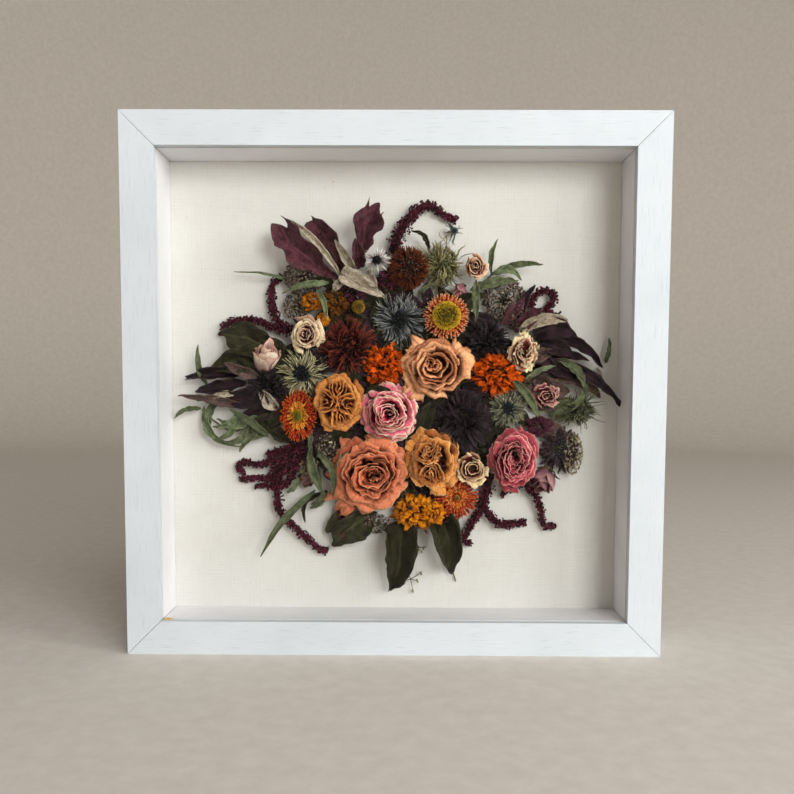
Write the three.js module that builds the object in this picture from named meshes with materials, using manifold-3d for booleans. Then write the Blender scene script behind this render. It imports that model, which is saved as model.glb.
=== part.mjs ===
// A square white box frame, glazed, that holds a bouquet of dried flowers on linen.
// Millimetres, +Z up. The frame stands on z = 0, faces -Y, and is centred on x = 0.
import * as THREE from 'three';
import { mergeVertices } from 'three/addons/utils/BufferGeometryUtils.js';
import Module from 'manifold-3d';

const wasm = await Module();
wasm.setup();

// ---- driving dimensions ----------------------------------------------------------------

const FRAME_SIDE = 400; // outside of the square frame
const FACE_WIDTH = 25; // front face of the moulding
const LIP_DEPTH = 6; // the lip in front of the glass
const WALL = 12; // moulding wall beside the glass and boards
const RAIL_DEPTH = 54; // moulding, front to back
const GAP = 0.3; // clearance between pieces that touch
const MITRE_GAP = 0.2; // taken off each end of a mitred piece
const GLASS_THICKNESS = 2;
const LINEN_FRONT = 43.5; // from the frame's front face to the cloth
const LINEN_THICKNESS = 0.6;
const MOUNT_BOARD_THICKNESS = 5;
const BACK_PANEL_THICKNESS = 3;
const COVER_THICKNESS = 0.5; // paper pasted over the back
const COVER_INSET = 5; // the paper stops short of the outer edge
const HANGER = { length: 60, height: 13, thickness: 1, teeth: 13, toothDepth: 2.2, below: 6 };

const HEAD_SIDES = 12; // facets around a flower head
const STEM_RADIUS = 1.8; // cut stalk behind a head
const LEAF_THICKNESS = 1.2;
const LEAF_LEVEL = 0.6; // underside of a leaf above the cloth
const TWIG_RADIUS = 1.1;
const STALK_STEP = 9; // spacing of the rings along a twig or tassel
const TASSEL_RADIUS = 2.6; // the knobbly ropes of amaranth
const TASSEL_BASE_LEVEL = 8;
const TASSEL_TIP_LEVEL = 3.2;

const FRAME_BACK = RAIL_DEPTH + GAP + COVER_THICKNESS + GAP + HANGER.thickness;
const INSIDE = FRAME_SIDE - 2 * WALL - 2 * GAP; // what fits between the moulding walls
const GLASS_FRONT = LIP_DEPTH + GAP;
const SPACER_FRONT = GLASS_FRONT + GLASS_THICKNESS + GAP;

// ---- solids ------------------------------------------------------------------------------

function toSolid(geometry) {
  const bare = geometry.clone();
  bare.deleteAttribute('normal');
  bare.deleteAttribute('uv');
  const merged = mergeVertices(bare, 1e-4);
  return new wasm.Manifold(new wasm.Mesh({
    numProp: 3,
    vertProperties: new Float32Array(merged.attributes.position.array),
    triVerts: new Uint32Array(merged.index.array),
  }));
}

function toGeometry(solid) {
  const mesh = solid.getMesh();
  const geometry = new THREE.BufferGeometry();
  geometry.setAttribute('position', new THREE.BufferAttribute(mesh.vertProperties, 3));
  geometry.setIndex(new THREE.BufferAttribute(mesh.triVerts, 1));
  geometry.computeVertexNormals();
  return geometry;
}

const joinAll = (solids) => solids.reduce((whole, next) => whole.add(next));

function largestPiece(solid) {
  const pieces = solid.decompose();
  return pieces.reduce((best, next) => (next.volume() > best.volume() ? next : best));
}

// Places one solid after another, each cut back to clear those already placed.
// A make function takes the amount to grow the shape by.
const placed = [];

function crowd(make) {
  let solid = make(0);
  const box = solid.boundingBox();
  for (const other of placed) {
    const apart = [0, 1, 2].some((i) => other.box.min[i] > box.max[i] || other.box.max[i] < box.min[i]);
    if (!apart) solid = solid.subtract(other.grown);
  }
  const grown = make(GAP);
  placed.push({ grown, box: grown.boundingBox() });
  return largestPiece(solid);
}

// ---- the scene graph ---------------------------------------------------------------------

const frame = new THREE.Group();
const flowers = new THREE.Group(); // x right, y up, z out of the cloth
flowers.position.set(0, LINEN_FRONT - FRAME_BACK / 2, FRAME_SIDE / 2);
flowers.rotation.x = Math.PI / 2;
frame.add(flowers);

function addMesh(parent, name, geometry, material) {
  const mesh = new THREE.Mesh(geometry, material);
  mesh.name = name;
  parent.add(mesh);
  return mesh;
}

const finish = (color, roughness, metalness = 0) =>
  new THREE.MeshStandardMaterial({ color, roughness, metalness });

// ---- frame -------------------------------------------------------------------------------

const painted = finish('#eef1f1', 0.55);

// A bar with 45 degree ends: its outer edge is on y = 0 and its depth runs along +z.
function mitredBar(length, width, depth) {
  const half = length / 2 - MITRE_GAP;
  const outline = new THREE.Shape([
    new THREE.Vector2(-half, 0),
    new THREE.Vector2(half, 0),
    new THREE.Vector2(half - width, width),
    new THREE.Vector2(-half + width, width),
  ]);
  return new THREE.ExtrudeGeometry(outline, { depth, bevelEnabled: false });
}

function railGeometry() {
  const lip = toSolid(mitredBar(FRAME_SIDE, FACE_WIDTH, LIP_DEPTH));
  const wall = toSolid(mitredBar(FRAME_SIDE, WALL, RAIL_DEPTH));
  return toGeometry(lip.add(wall));
}

function spacerGeometry() {
  const width = FACE_WIDTH - WALL - GAP;
  return mitredBar(INSIDE, width, LINEN_FRONT - GAP - SPACER_FRONT);
}

// Four like bars around the square, the first along the bottom.
function surround(prefix, geometry, front, inset, material) {
  for (const [turn, side] of ['bottom', 'right', 'top', 'left'].entries()) {
    const stand = new THREE.Group();
    stand.position.set(0, front - FRAME_BACK / 2, FRAME_SIDE / 2);
    stand.rotation.y = -turn * Math.PI / 2;
    frame.add(stand);
    const bar = addMesh(stand, `${prefix}_${side}`, geometry, material);
    bar.scale.z = -1;
    bar.rotation.x = Math.PI / 2;
    bar.position.z = inset - FRAME_SIDE / 2;
  }
}

// A flat sheet centred behind the frame's opening.
function sheet(name, side, front, thickness, material) {
  const mesh = addMesh(frame, name, new THREE.BoxGeometry(side, thickness, side), material);
  mesh.position.set(0, front + thickness / 2 - FRAME_BACK / 2, FRAME_SIDE / 2);
}

// A sawtooth hanger: a thin steel strip whose lower edge has a row of teeth.
function hangerGeometry() {
  const half = HANGER.length / 2;
  const pitch = HANGER.length * 0.6 / HANGER.teeth;
  const toothed = pitch * HANGER.teeth / 2;
  const outline = new THREE.Shape();
  outline.moveTo(-half, 0);
  outline.lineTo(-toothed, 0);
  for (let i = 0; i < HANGER.teeth; i++) {
    outline.lineTo(-toothed + (i + 0.5) * pitch, HANGER.toothDepth);
    outline.lineTo(-toothed + (i + 1) * pitch, 0);
  }
  outline.lineTo(half, 0);
  outline.lineTo(half, HANGER.height * 0.55);
  outline.quadraticCurveTo(0, HANGER.height * 1.45, -half, HANGER.height * 0.55);
  return new THREE.ExtrudeGeometry(outline, {
    depth: HANGER.thickness, bevelEnabled: false, curveSegments: 8,
  });
}

surround('rail', railGeometry(), 0, 0, painted);
surround('spacer', spacerGeometry(), SPACER_FRONT, WALL + GAP, painted);

const boardFront = LINEN_FRONT + LINEN_THICKNESS + GAP;
const panelFront = boardFront + MOUNT_BOARD_THICKNESS + GAP;
const coverSide = FRAME_SIDE - 2 * COVER_INSET;
sheet('glass_pane', INSIDE, GLASS_FRONT, GLASS_THICKNESS, finish('#eef4f2', 0.05));
sheet('linen_backing', INSIDE, LINEN_FRONT, LINEN_THICKNESS, finish('#e6e0d4', 0.95));
sheet('mount_board', INSIDE, boardFront, MOUNT_BOARD_THICKNESS, finish('#b9b2a4', 0.9));
sheet('back_panel', INSIDE, panelFront, BACK_PANEL_THICKNESS, finish('#8a6a48', 0.8));
sheet('dust_cover', coverSide, RAIL_DEPTH + GAP, COVER_THICKNESS, finish('#b08a5c', 0.85));

const hanger = addMesh(frame, 'sawtooth_hanger', hangerGeometry(), finish('#b8a468', 0.35, 1));
hanger.rotation.x = Math.PI / 2;
hanger.position.set(0, FRAME_BACK / 2, FRAME_SIDE - COVER_INSET - HANGER.below - HANGER.height);

// ---- flower heads ------------------------------------------------------------------------

// Each form is a half section: share of the radius, share of the head's depth.
const FORMS = {
  cup: [[0.45, 0.03], [0.86, 0.28], [1, 0.62], [0.86, 0.9], [0.45, 1]],
  daisy: [[0.3, 0.05], [0.8, 0.35], [1, 0.62], [0.8, 0.8], [0.42, 1]],
  ball: [[0.55, 0.08], [0.94, 0.34], [1, 0.58], [0.78, 0.85], [0.36, 1]],
};

// A head on its cut stalk, which stands on the cloth.
function headSolid({ at, half, top, depth, form }, grow) {
  const floor = GAP - grow;
  const under = top - depth;
  const [reach, depthOut] = [half[0] + grow, depth + 2 * grow];
  const stalk = STEM_RADIUS + grow;
  const section = [
    [0, floor], [stalk, floor], [stalk, under],
    ...FORMS[form].map(([r, h]) => [r * reach, under - grow + h * depthOut]),
    [0, top + grow],
  ];
  const geometry = new THREE.LatheGeometry(section.map(([r, h]) => new THREE.Vector2(r, h)), HEAD_SIDES);
  geometry.rotateX(Math.PI / 2);
  geometry.scale(1, (half[1] + grow) / reach, 1);
  geometry.translate(at[0], at[1], 0);
  return toSolid(geometry);
}

// at: centre on the cloth; half: half width and half height; top: how far it stands out.
const HEADS = {
  rose_peach: { at: [33, 15], half: [26, 26], top: 33, depth: 21, form: 'cup', color: '#c98962' },
  rose_coral: { at: [-18, -66], half: [30, 29], top: 32, depth: 22, form: 'cup', color: '#b8694a' },
  rose_pink_cream: { at: [-4, -19], half: [21, 21], top: 31, depth: 19, form: 'cup', color: '#c27283' },
  rose_mustard: { at: [-43, -11], half: [18, 22], top: 30, depth: 18, form: 'cup', color: '#b5843f' },
  rose_gold: { at: [30, -55], half: [21, 25], top: 30, depth: 18, form: 'cup', color: '#b07a3e' },
  rose_magenta: { at: [92, -54], half: [20, 24], top: 27, depth: 18, form: 'cup', color: '#a24a5c' },
  strawflower_top: { at: [39, 55], half: [18, 18], top: 28, depth: 11, form: 'daisy', color: '#c8622f' },
  strawflower_left: { at: [-74, -21], half: [13, 18], top: 26, depth: 10, form: 'daisy', color: '#b8401a' },
  strawflower_low: { at: [48, -84], half: [15, 15], top: 24, depth: 10, form: 'daisy', color: '#b8441c' },
  spray_rose_cream: { at: [-68, 41], half: [13, 14], top: 26, depth: 14, form: 'cup', color: '#e2d3b0' },
  spray_rose_small: { at: [60, -61], half: [12, 13], top: 25, depth: 13, form: 'cup', color: '#d8c09a' },
  spray_rose_faded: { at: [98, 28], half: [12, 16], top: 24, depth: 14, form: 'cup', color: '#cfc391' },
  rosebud_blush: { at: [-100, 28], half: [12, 15], top: 21, depth: 14, form: 'cup', color: '#c98f95' },
  rosebud_right: { at: [117, -5], half: [11, 9], top: 20, depth: 10, form: 'cup', color: '#b07684' },
  rosebud_top: { at: [61, 93], half: [9, 11], top: 20, depth: 11, form: 'cup', color: '#c48d7c' },
  strawflower_brown: { at: [10, 92], half: [16, 17], top: 24, depth: 12, form: 'ball', color: '#5c3218' },
  scabious_blue: { at: [4, 52], half: [23, 23], top: 25, depth: 16, form: 'ball', color: '#5d6a72' },
  scabious_left: { at: [-71, 11], half: [20, 20], top: 24, depth: 15, form: 'ball', color: '#8b8d74' },
  scabious_right: { at: [87, -15], half: [15, 15], top: 23, depth: 13, form: 'ball', color: '#5f6a62' },
  dahlia_dark: { at: [51, -24], half: [26, 26], top: 27, depth: 17, form: 'ball', color: '#2b1d24' },
  chrysanthemum_russet: { at: [-36, 32], half: [23, 25], top: 26, depth: 16, form: 'ball', color: '#4a1f1c' },
  marigold_centre: { at: [-8, 17], half: [20, 20], top: 24, depth: 13, form: 'ball', color: '#c8601a' },
  marigold_right: { at: [79, 12], half: [22, 17], top: 23, depth: 12, form: 'ball', color: '#c85a12' },
  marigold_low: { at: [18, -96], half: [20, 16], top: 21, depth: 12, form: 'ball', color: '#c9781a' },
  thistle_dark_top: { at: [70, 36], half: [20, 18], top: 22, depth: 13, form: 'ball', color: '#251a20' },
  thistle_dark_left: { at: [-99, 1], half: [18, 15], top: 20, depth: 12, form: 'ball', color: '#26211f' },
  bloom_dark_right: { at: [129, -47], half: [15, 17], top: 18, depth: 11, form: 'ball', color: '#3a2630' },
  nigella_top: { at: [35, 94], half: [15, 18], top: 20, depth: 13, form: 'ball', color: '#6f6f4c' },
  nigella_right: { at: [140, -16], half: [18, 12], top: 18, depth: 12, form: 'ball', color: '#5c6250' },
  seed_spray_top_left: { at: [-71, 86], half: [15, 14], top: 17, depth: 10, form: 'ball', color: '#6b5b4c' },
  seed_spray_top_right: { at: [85, 69], half: [17, 17], top: 16, depth: 10, form: 'ball', color: '#5d4c44' },
};

for (const [name, head] of Object.entries(HEADS)) {
  const solid = crowd((grow) => headSolid(head, grow));
  addMesh(flowers, name, toGeometry(solid), finish(head.color, 0.85));
}

// ---- tassels, leaves and twigs -----------------------------------------------------------

// A round stalk along points [x, y, level], with pointed-off corners.
function stalkSolid(points, radius, grow, sides = 6) {
  const path = new THREE.CatmullRomCurve3(points.map((p) => new THREE.Vector3(...p)));
  const section = new THREE.Shape();
  for (let i = 0; i <= sides; i++) {
    const angle = (i / sides) * 2 * Math.PI;
    const [x, y] = [Math.cos(angle) * (radius + grow), Math.sin(angle) * (radius + grow)];
    if (i === 0) section.moveTo(x, y);
    else if (i < sides) section.lineTo(x, y);
  }
  const steps = Math.max(2, Math.round(path.getLength() / STALK_STEP));
  return toSolid(new THREE.ExtrudeGeometry(section, { extrudePath: path, steps, bevelEnabled: false }));
}

// A tassel sinks from the bouquet towards the cloth as it goes.
function tasselSolid(branches, grow) {
  return joinAll(branches.map((points) => {
    const last = points.length - 1;
    const levels = points.map(([x, y], i) =>
      [x, y, THREE.MathUtils.lerp(TASSEL_BASE_LEVEL, TASSEL_TIP_LEVEL, i / last)]);
    return stalkSolid(levels, TASSEL_RADIUS, grow);
  }));
}

// One leaf from its base to its tip, a pointed oval that rises by lift towards the tip.
function leafSolid([bx, by, tx, ty, width, lift = 0], grow) {
  const length = Math.hypot(tx - bx, ty - by);
  const outline = new THREE.Shape();
  outline.moveTo(-grow, 0);
  outline.quadraticCurveTo(length * 0.4, width + 2 * grow, length + grow, 0);
  outline.quadraticCurveTo(length * 0.4, -width - 2 * grow, -grow, 0);
  const geometry = new THREE.ExtrudeGeometry(outline, {
    depth: LEAF_THICKNESS + 2 * grow, bevelEnabled: false, curveSegments: 3,
  });
  geometry.translate(0, 0, LEAF_LEVEL - grow);
  geometry.rotateY(-Math.atan2(lift, length));
  geometry.rotateZ(Math.atan2(ty - by, tx - bx));
  geometry.translate(bx, by, 0);
  return toSolid(geometry);
}

// A cut spray: twigs on the cloth with leaves [base x, base y, tip x, tip y, width, lift].
function spraySolid({ twigs = [], leaves = [] }, grow) {
  const level = LEAF_LEVEL + TWIG_RADIUS;
  return joinAll([
    ...twigs.map((points) => stalkSolid(points.map(([x, y]) => [x, y, level]), TWIG_RADIUS, grow)),
    ...leaves.map((leaf) => leafSolid(leaf, grow)),
  ]);
}

const TASSELS = {
  amaranth_top: [[[0, 108], [7, 126], [16, 136], [25, 141], [34, 136], [47, 130]]],
  amaranth_left: [
    [[-89, 46], [-97, 49], [-116, 53], [-126, 52], [-133, 48], [-136, 41]],
    [[-89, 46], [-95, 58], [-96, 70], [-94, 80], [-88, 87]],
  ],
  amaranth_low_left: [
    [[-80, -48], [-100, -60], [-112, -60], [-123, -62]],
    [[-80, -48], [-96, -70], [-112, -73], [-122, -72]],
    [[-80, -48], [-92, -72], [-92, -88], [-81, -107], [-65, -122], [-54, -129]],
  ],
  amaranth_low_right: [
    [[74, -76], [71, -88], [64, -102], [57, -113], [60, -122]],
    [[74, -76], [72, -92], [84, -105], [96, -107], [104, -105]],
    [[74, -76], [95, -84], [108, -84], [115, -94], [118, -105], [126, -107]],
  ],
  amaranth_loop_right: [[[103, 58], [108, 72], [117, 76], [123, 73], [119, 64], [121, 57], [129, 57]]],
};

const SPRAYS = {
  leaves_top_left: {
    color: '#4a1f2c',
    twigs: [[[-52, 70], [-46, 82], [-40, 92]], [[-46, 82], [-30, 92], [-24, 100]]],
    leaves: [
      [-44, 86, -93, 120, 12, 6], [-44, 86, -89, 134, 12, 8], [-42, 88, -63, 131, 15, 8],
      [-26, 98, -14, 143, 20, 7],
    ],
  },
  leaves_left: {
    color: '#2c2f25',
    twigs: [[[-104, 34], [-108, 20], [-118, 10], [-146, 2]], [[-118, 10], [-124, -12], [-150, -13]]],
    leaves: [
      [-105, 37, -132, 44, 18, 4], [-108, 20, -143, 24, 14, 4], [-124, 9, -158, 9, 12, 3],
      [-146, 2, -152, 32, 6, 2], [-130, -13, -167, -7, 5, 1],
    ],
  },
  willow_left: {
    color: '#5f6b4e',
    twigs: [[[-96, -34], [-112, -29], [-128, -33], [-145, -28], [-152, -17]]],
    leaves: [
      [-152, -17, -171, -23, 6, 2], [-128, -33, -145, -12, 6, 3], [-112, -29, -126, -17, 7, 3],
      [-128, -33, -122, -48, 6, 2],
    ],
  },
  willow_low_left: {
    color: '#56633f',
    twigs: [[[-66, -44], [-60, -64], [-58, -84], [-66, -92]]],
    leaves: [[-62, -58, -50, -84, 9, 4], [-58, -84, -104, -131, 5, 2], [-60, -70, -72, -100, 6, 2]],
  },
  leaf_low_green: { color: '#27301c', leaves: [[-18, -103, -50, -123, 22, 3]] },
  leaf_bottom_large: { color: '#262c1c', leaves: [[6, -108, -3, -158, 28, 3]] },
  leaf_bottom_small: {
    color: '#2c3420',
    twigs: [[[43, -130], [46, -142], [48, -152]]],
    leaves: [[37, -103, 44, -140, 20, 3]],
  },
  bud_sprig: {
    color: '#8a8468',
    twigs: [[[19, -112], [13, -132], [12, -148], [21, -147]], [[12, -148], [15, -159]]],
  },
  willow_top_right: {
    color: '#6a7458',
    twigs: [[[61, 62], [64, 78], [76, 90]]],
    leaves: [[76, 90, 113, 96, 6, 3], [76, 90, 77, 114, 5, 3], [66, 80, 96, 82, 9, 2]],
  },
  leaves_right: {
    color: '#2d1b26',
    twigs: [[[104, 44], [114, 36], [126, 22], [128, 12]]],
    leaves: [
      [106, 44, 134, 52, 12, 4], [114, 36, 142, 37, 18, 3], [120, 30, 159, 20, 10, 3],
      [127, 19, 171, -8, 9, 2], [128, 12, 156, 6, 14, 2],
    ],
  },
};

for (const [name, branches] of Object.entries(TASSELS)) {
  const solid = crowd((grow) => tasselSolid(branches, grow));
  addMesh(flowers, name, toGeometry(solid), finish('#4a1628', 0.95));
}

for (const [name, spray] of Object.entries(SPRAYS)) {
  const solid = crowd((grow) => spraySolid(spray, grow));
  addMesh(flowers, name, toGeometry(solid), finish(spray.color, 0.8));
}

export default frame;
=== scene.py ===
"""Dried flower box frame: a white painted box frame, glazed, with a bouquet of dried
flowers, seed heads and leaves on a linen-covered board.

Sizes inside the bouquet are millimetres on the cloth: x right, y up from the middle of the
frame, z out of the cloth towards the glass.
"""

import math
from functools import partial

import bpy
import numpy as np
from mathutils import Matrix, Vector


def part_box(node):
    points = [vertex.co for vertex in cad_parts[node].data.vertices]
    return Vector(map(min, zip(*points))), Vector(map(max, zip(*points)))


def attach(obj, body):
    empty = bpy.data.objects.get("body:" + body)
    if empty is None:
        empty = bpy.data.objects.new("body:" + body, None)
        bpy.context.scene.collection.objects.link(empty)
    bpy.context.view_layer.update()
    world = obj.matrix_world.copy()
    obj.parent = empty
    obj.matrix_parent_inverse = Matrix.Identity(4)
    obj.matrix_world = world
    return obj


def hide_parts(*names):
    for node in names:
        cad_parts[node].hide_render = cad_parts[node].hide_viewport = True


bl_info = {
    "name": "Dried Flower Box Frame",
    "version": (1, 0, 0),
    "blender": (4, 5, 0),
    "location": "View3D > Sidebar > Box Frame",
    "description": "Builds a glazed box frame with a dried bouquet on linen",
    "category": "Add Mesh",
}

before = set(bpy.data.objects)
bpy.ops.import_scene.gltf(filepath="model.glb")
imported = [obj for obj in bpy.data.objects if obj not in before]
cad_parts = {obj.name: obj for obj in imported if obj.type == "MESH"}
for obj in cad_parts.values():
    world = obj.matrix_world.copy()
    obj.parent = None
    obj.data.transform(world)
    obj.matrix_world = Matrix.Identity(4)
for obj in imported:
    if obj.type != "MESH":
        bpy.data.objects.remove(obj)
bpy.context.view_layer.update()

MM = 0.001
ROOT = "root"
GOLDEN_ANGLE = math.pi * (3 - math.sqrt(5))
FULL_TURN = 6.28  # radians, near enough for a random heading or phase
LINEN_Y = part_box("linen_backing")[0].y / MM
CENTRE_Z = (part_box("rail_top")[1].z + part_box("rail_bottom")[0].z) / 2 / MM
ROOM = LINEN_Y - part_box("glass_pane")[1].y / MM  # from the cloth to the back of the glass


# ---- colours and nodes -------------------------------------------------------------------

MIX = {"data_type": "RGBA"}
TINT = {"data_type": "RGBA", "blend_type": "MULTIPLY"}
TIMES = {"operation": "MULTIPLY"}
MINUS = {"operation": "SUBTRACT"}


def linear(hex_colour, alpha=1.0):
    """An sRGB hex colour as the linear colour that a shader wants."""
    parts = [int(hex_colour.lstrip("#")[i : i + 2], 16) / 255 for i in (0, 2, 4)]
    curve = [c / 12.92 if c <= 0.04045 else ((c + 0.055) / 1.055) ** 2.4 for c in parts]
    return (*curve, alpha)


def per_mm(size):
    """Noise scale whose features are about size millimetres, in object coordinates."""
    return 1 / (size * MM)


def add(tree, kind, *values, out=0, stops=(), **extra):
    """A shader node. values fill its open sockets in order, with links, numbers or hex
    colours, and stops are a ramp's. In extra, a capitalised name is a socket, any other a
    setting. Returns output number out."""
    node = tree.nodes.new(f"ShaderNode{kind}")
    for key in filter(str.islower, extra):
        setattr(node, key, extra[key])
    if stops:
        elements = node.color_ramp.elements
        while len(elements) < len(stops):
            elements.new(0.5)
        for element, (position, colour) in zip(elements, stops):
            element.position = position
            element.color = linear(colour)
    filled = list(zip([socket for socket in node.inputs if socket.enabled], values))
    named = [key for key in extra if not key.islower()]
    filled += [(node.inputs[key.replace("_", " ")], extra[key]) for key in named]
    for socket, value in filled:
        if isinstance(value, bpy.types.NodeSocket):
            tree.links.new(value, socket)
        else:
            socket.default_value = linear(value) if isinstance(value, str) else value
    return [socket for socket in node.outputs if socket.enabled][out]


def surface(name, roughness, **sockets):
    """A new material, what adds nodes to it, and its Principled shader."""
    made = bpy.data.materials.new(name)
    made.use_nodes = True
    shader = made.node_tree.nodes["Principled BSDF"]
    shader.inputs["Roughness"].default_value = roughness
    for socket, value in sockets.items():
        value = linear(value) if isinstance(value, str) else value
        shader.inputs[socket.replace("_", " ")].default_value = value
    return made, partial(add, made.node_tree), shader


def wear(put, shader, colour, height, strength, distance):
    """Links a colour and a bump height, distance in millimetres, to the shader."""
    bump = put("Bump", Height=height, Strength=strength, Distance=distance * MM)
    links = shader.id_data.links
    links.new(colour, shader.inputs["Base Color"])
    links.new(bump, shader.inputs["Normal"])


def coordinates(put, scale=(1, 1, 1)):
    """Object coordinates, which are metres, stretched by scale."""
    return put("Mapping", put("TexCoord", out=3), Scale=scale)


# ---- frame materials ---------------------------------------------------------------------


def painted_wood(along, white):
    """White emulsion brushed over open-grained ash: pores show as fine broken lines. The same paint
    is tinted by white, darker on the rails as painted shade and lighter on the spacers as painted
    light.
    """
    made, put, shader = surface(
        f"brushed white paint on ash, grain {along}", 0.5, Specular_IOR_Level=0.4
    )
    stretch = [1.0, 1.0, 1.0]
    stretch["XYZ".index(along)] = 0.045
    grain = coordinates(put, stretch)
    pores = put("TexNoise", grain, per_mm(0.8), 3, 0.6)
    bands = put("TexNoise", grain, per_mm(5), 2, 0.5)
    patches = put("TexNoise", coordinates(put), per_mm(60), 2, 0.6)
    lines = [(0.30, "#e4e8e8"), (0.42, "#fafbfb"), (1.0, "#ffffff")]
    colour = put("ValToRGB", pores, stops=lines)
    aged = put("ValToRGB", patches, stops=[(0.3, "#f5f6f6"), (0.7, "#ffffff")])
    colour = put("Mix", 1.0, colour, aged, **TINT)
    # Tint per part: painted shade on the rails, painted light on the spacers inside the box.
    colour = put("Mix", 1.0, colour, white, **TINT)
    height = put("Math", pores, put("Math", bands, 0.6, **TIMES))
    wear(put, shader, colour, height, 0.25, 0.18)
    return made


def picture_glass():
    """Float glass with an anti-reflection coating: clear, with only a faint sharp reflection,
    and daylight passes it."""
    made, put, shader = surface(
        "coated float glass", 0.0, Base_Color="#fdfefe", Transmission_Weight=1.0, IOR=1.52,
        Specular_Tint="#505050",
    )
    clear = put("BsdfTransparent", "#fafbfa")
    ray = put("LightPath").node.outputs
    passing = put("Math", ray["Is Shadow Ray"], ray["Is Diffuse Ray"], operation="MAXIMUM")
    both = put("MixShader", passing, shader.outputs[0], clear)
    tree = made.node_tree
    tree.links.new(both, tree.nodes["Material Output"].inputs["Surface"])
    return made


def woven_linen(pitch):
    """Natural linen, plain weave: slubbed threads, drawn coarser than real so they show."""
    made, put, shader = surface(
        "plain-woven natural linen", 0.9, Sheen_Weight=0.15, Sheen_Roughness=0.6
    )
    place = coordinates(put)
    threads = []
    for direction, slub in (("X", (1.0, 1.0, 0.06)), ("Z", (0.06, 1.0, 1.0))):
        slubs = coordinates(put, slub)
        wobble = put("TexNoise", slubs, per_mm(1.1), 4, 0.7, Distortion=0.6)
        # half a wave is a thread, and this texture has about 6.28 of those to a unit
        wave = put("TexWave", place, per_mm(pitch) / 6.28, 1.2, 1.0, 2.0, out=1,
                   bands_direction=direction)
        threads.append(put("Math", put("Math", wave, 0.18, **TIMES), wobble))
    weave = put("Math", put("Math", *threads), 0.5, **TIMES)
    cloud = put("TexNoise", place, per_mm(45), 3, 0.6)
    tones = [(0.28, "#b6b1a9"), (0.50, "#dad7d2"), (0.85, "#e9e7e3")]
    colour = put("ValToRGB", weave, stops=tones)
    patchy = put("ValToRGB", cloud, stops=[(0.3, "#d4d1cb"), (0.7, "#e0deda")])
    colour = put("Mix", 0.45, colour, patchy, **MIX)
    fleck = put("TexNoise", place, per_mm(1.7), 2, 0.5)
    flecked = put("MapRange", fleck, 0.70, 0.78)
    colour = put("Mix", flecked, colour, "#b3a68e", **MIX)
    wear(put, shader, colour, weave, 0.5, 0.3)
    return made


def mottled(name, roughness, grain, detail, tones, depth, distance):
    """A plain material with mottled colour and a fine grain of so many millimetres."""
    made, put, shader = surface(name, roughness)
    flecks = put("TexNoise", coordinates(put), per_mm(grain), detail, 0.6)
    colour = put("ValToRGB", flecks, stops=list(zip((0.3, 0.7), tones)))
    wear(put, shader, colour, flecks, depth, distance)
    return made


def grey_board():
    """Recycled pulp board, calendered: dull and slightly mottled."""
    return mottled("calendered pulp board", 0.9, 0.8, 4, ("#a39c8e", "#c4beb1"), 0.3, 0.1)


def fibreboard():
    """Medium-density fibreboard, pressed: brown, finely flecked."""
    return mottled("pressed fibreboard", 0.8, 1.2, 5, ("#74573a", "#9a7a54"), 0.3, 0.15)


def dried_glue():
    """PVA wood glue, dried in a smear: amber and glossy."""
    return mottled("dried wood glue", 0.25, 1.5, 2, ("#c2912f", "#dcb95c"), 0.4, 0.3)


def kraft_paper():
    """Machine-made kraft paper, pasted: faint long fibres and slack ripples where it dried."""
    made, put, shader = surface("pasted kraft paper", 0.75)
    fibres = put("TexNoise", coordinates(put, (1, 1, 0.25)), per_mm(0.9), 4, 0.6)
    ripples = put("TexNoise", coordinates(put, (1, 1, 0.5)), per_mm(38), 2, 0.6)
    tones = [(0.3, "#9c7849"), (0.52, "#b58e5f"), (0.75, "#c4a173")]
    colour = put("ValToRGB", fibres, stops=tones)
    slack = put("ValToRGB", ripples, stops=[(0.3, "#a5804f"), (0.7, "#c09a6a")])
    colour = put("Mix", 0.35, colour, slack, **MIX)
    height = put("Math", put("Math", fibres, 0.04, **TIMES), ripples)
    wear(put, shader, colour, height, 0.6, 1.6)
    return made


def brassed_steel():
    """Brass-plated steel strip, stamped: soft shine, with fine scuffs and dull patches."""
    made, put, shader = surface("stamped brass-plated steel", 0.35, Metallic=1.0)
    scuffs = put("TexNoise", coordinates(put, (0.1, 1, 1)), per_mm(0.4), 3, 0.6)
    dull = put("TexNoise", coordinates(put), per_mm(6), 3, 0.6)
    colour = put("ValToRGB", dull, stops=[(0.35, "#a58c4c"), (0.65, "#d2bb7a")])
    rough = put("MapRange", scuffs, 0.3, 0.7, 0.25, 0.5)
    shader.id_data.links.new(rough, shader.inputs["Roughness"])
    wear(put, shader, colour, scuffs, 0.2, 0.05)
    return made


# ---- plant materials ---------------------------------------------------------------------


def growth(put):
    """What each point of a petal or leaf knows: how far along it, how far across it, its own
    tone, how far out in the head it grew, and whether it is on the underside."""
    read = put("Attribute", attribute_name="growth").node.outputs
    parts = put("SeparateColor", read["Color"]).node.outputs
    under = put("Attribute", attribute_name="underside").node.outputs["Fac"]
    return (*parts, read["Alpha"], under)


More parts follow.
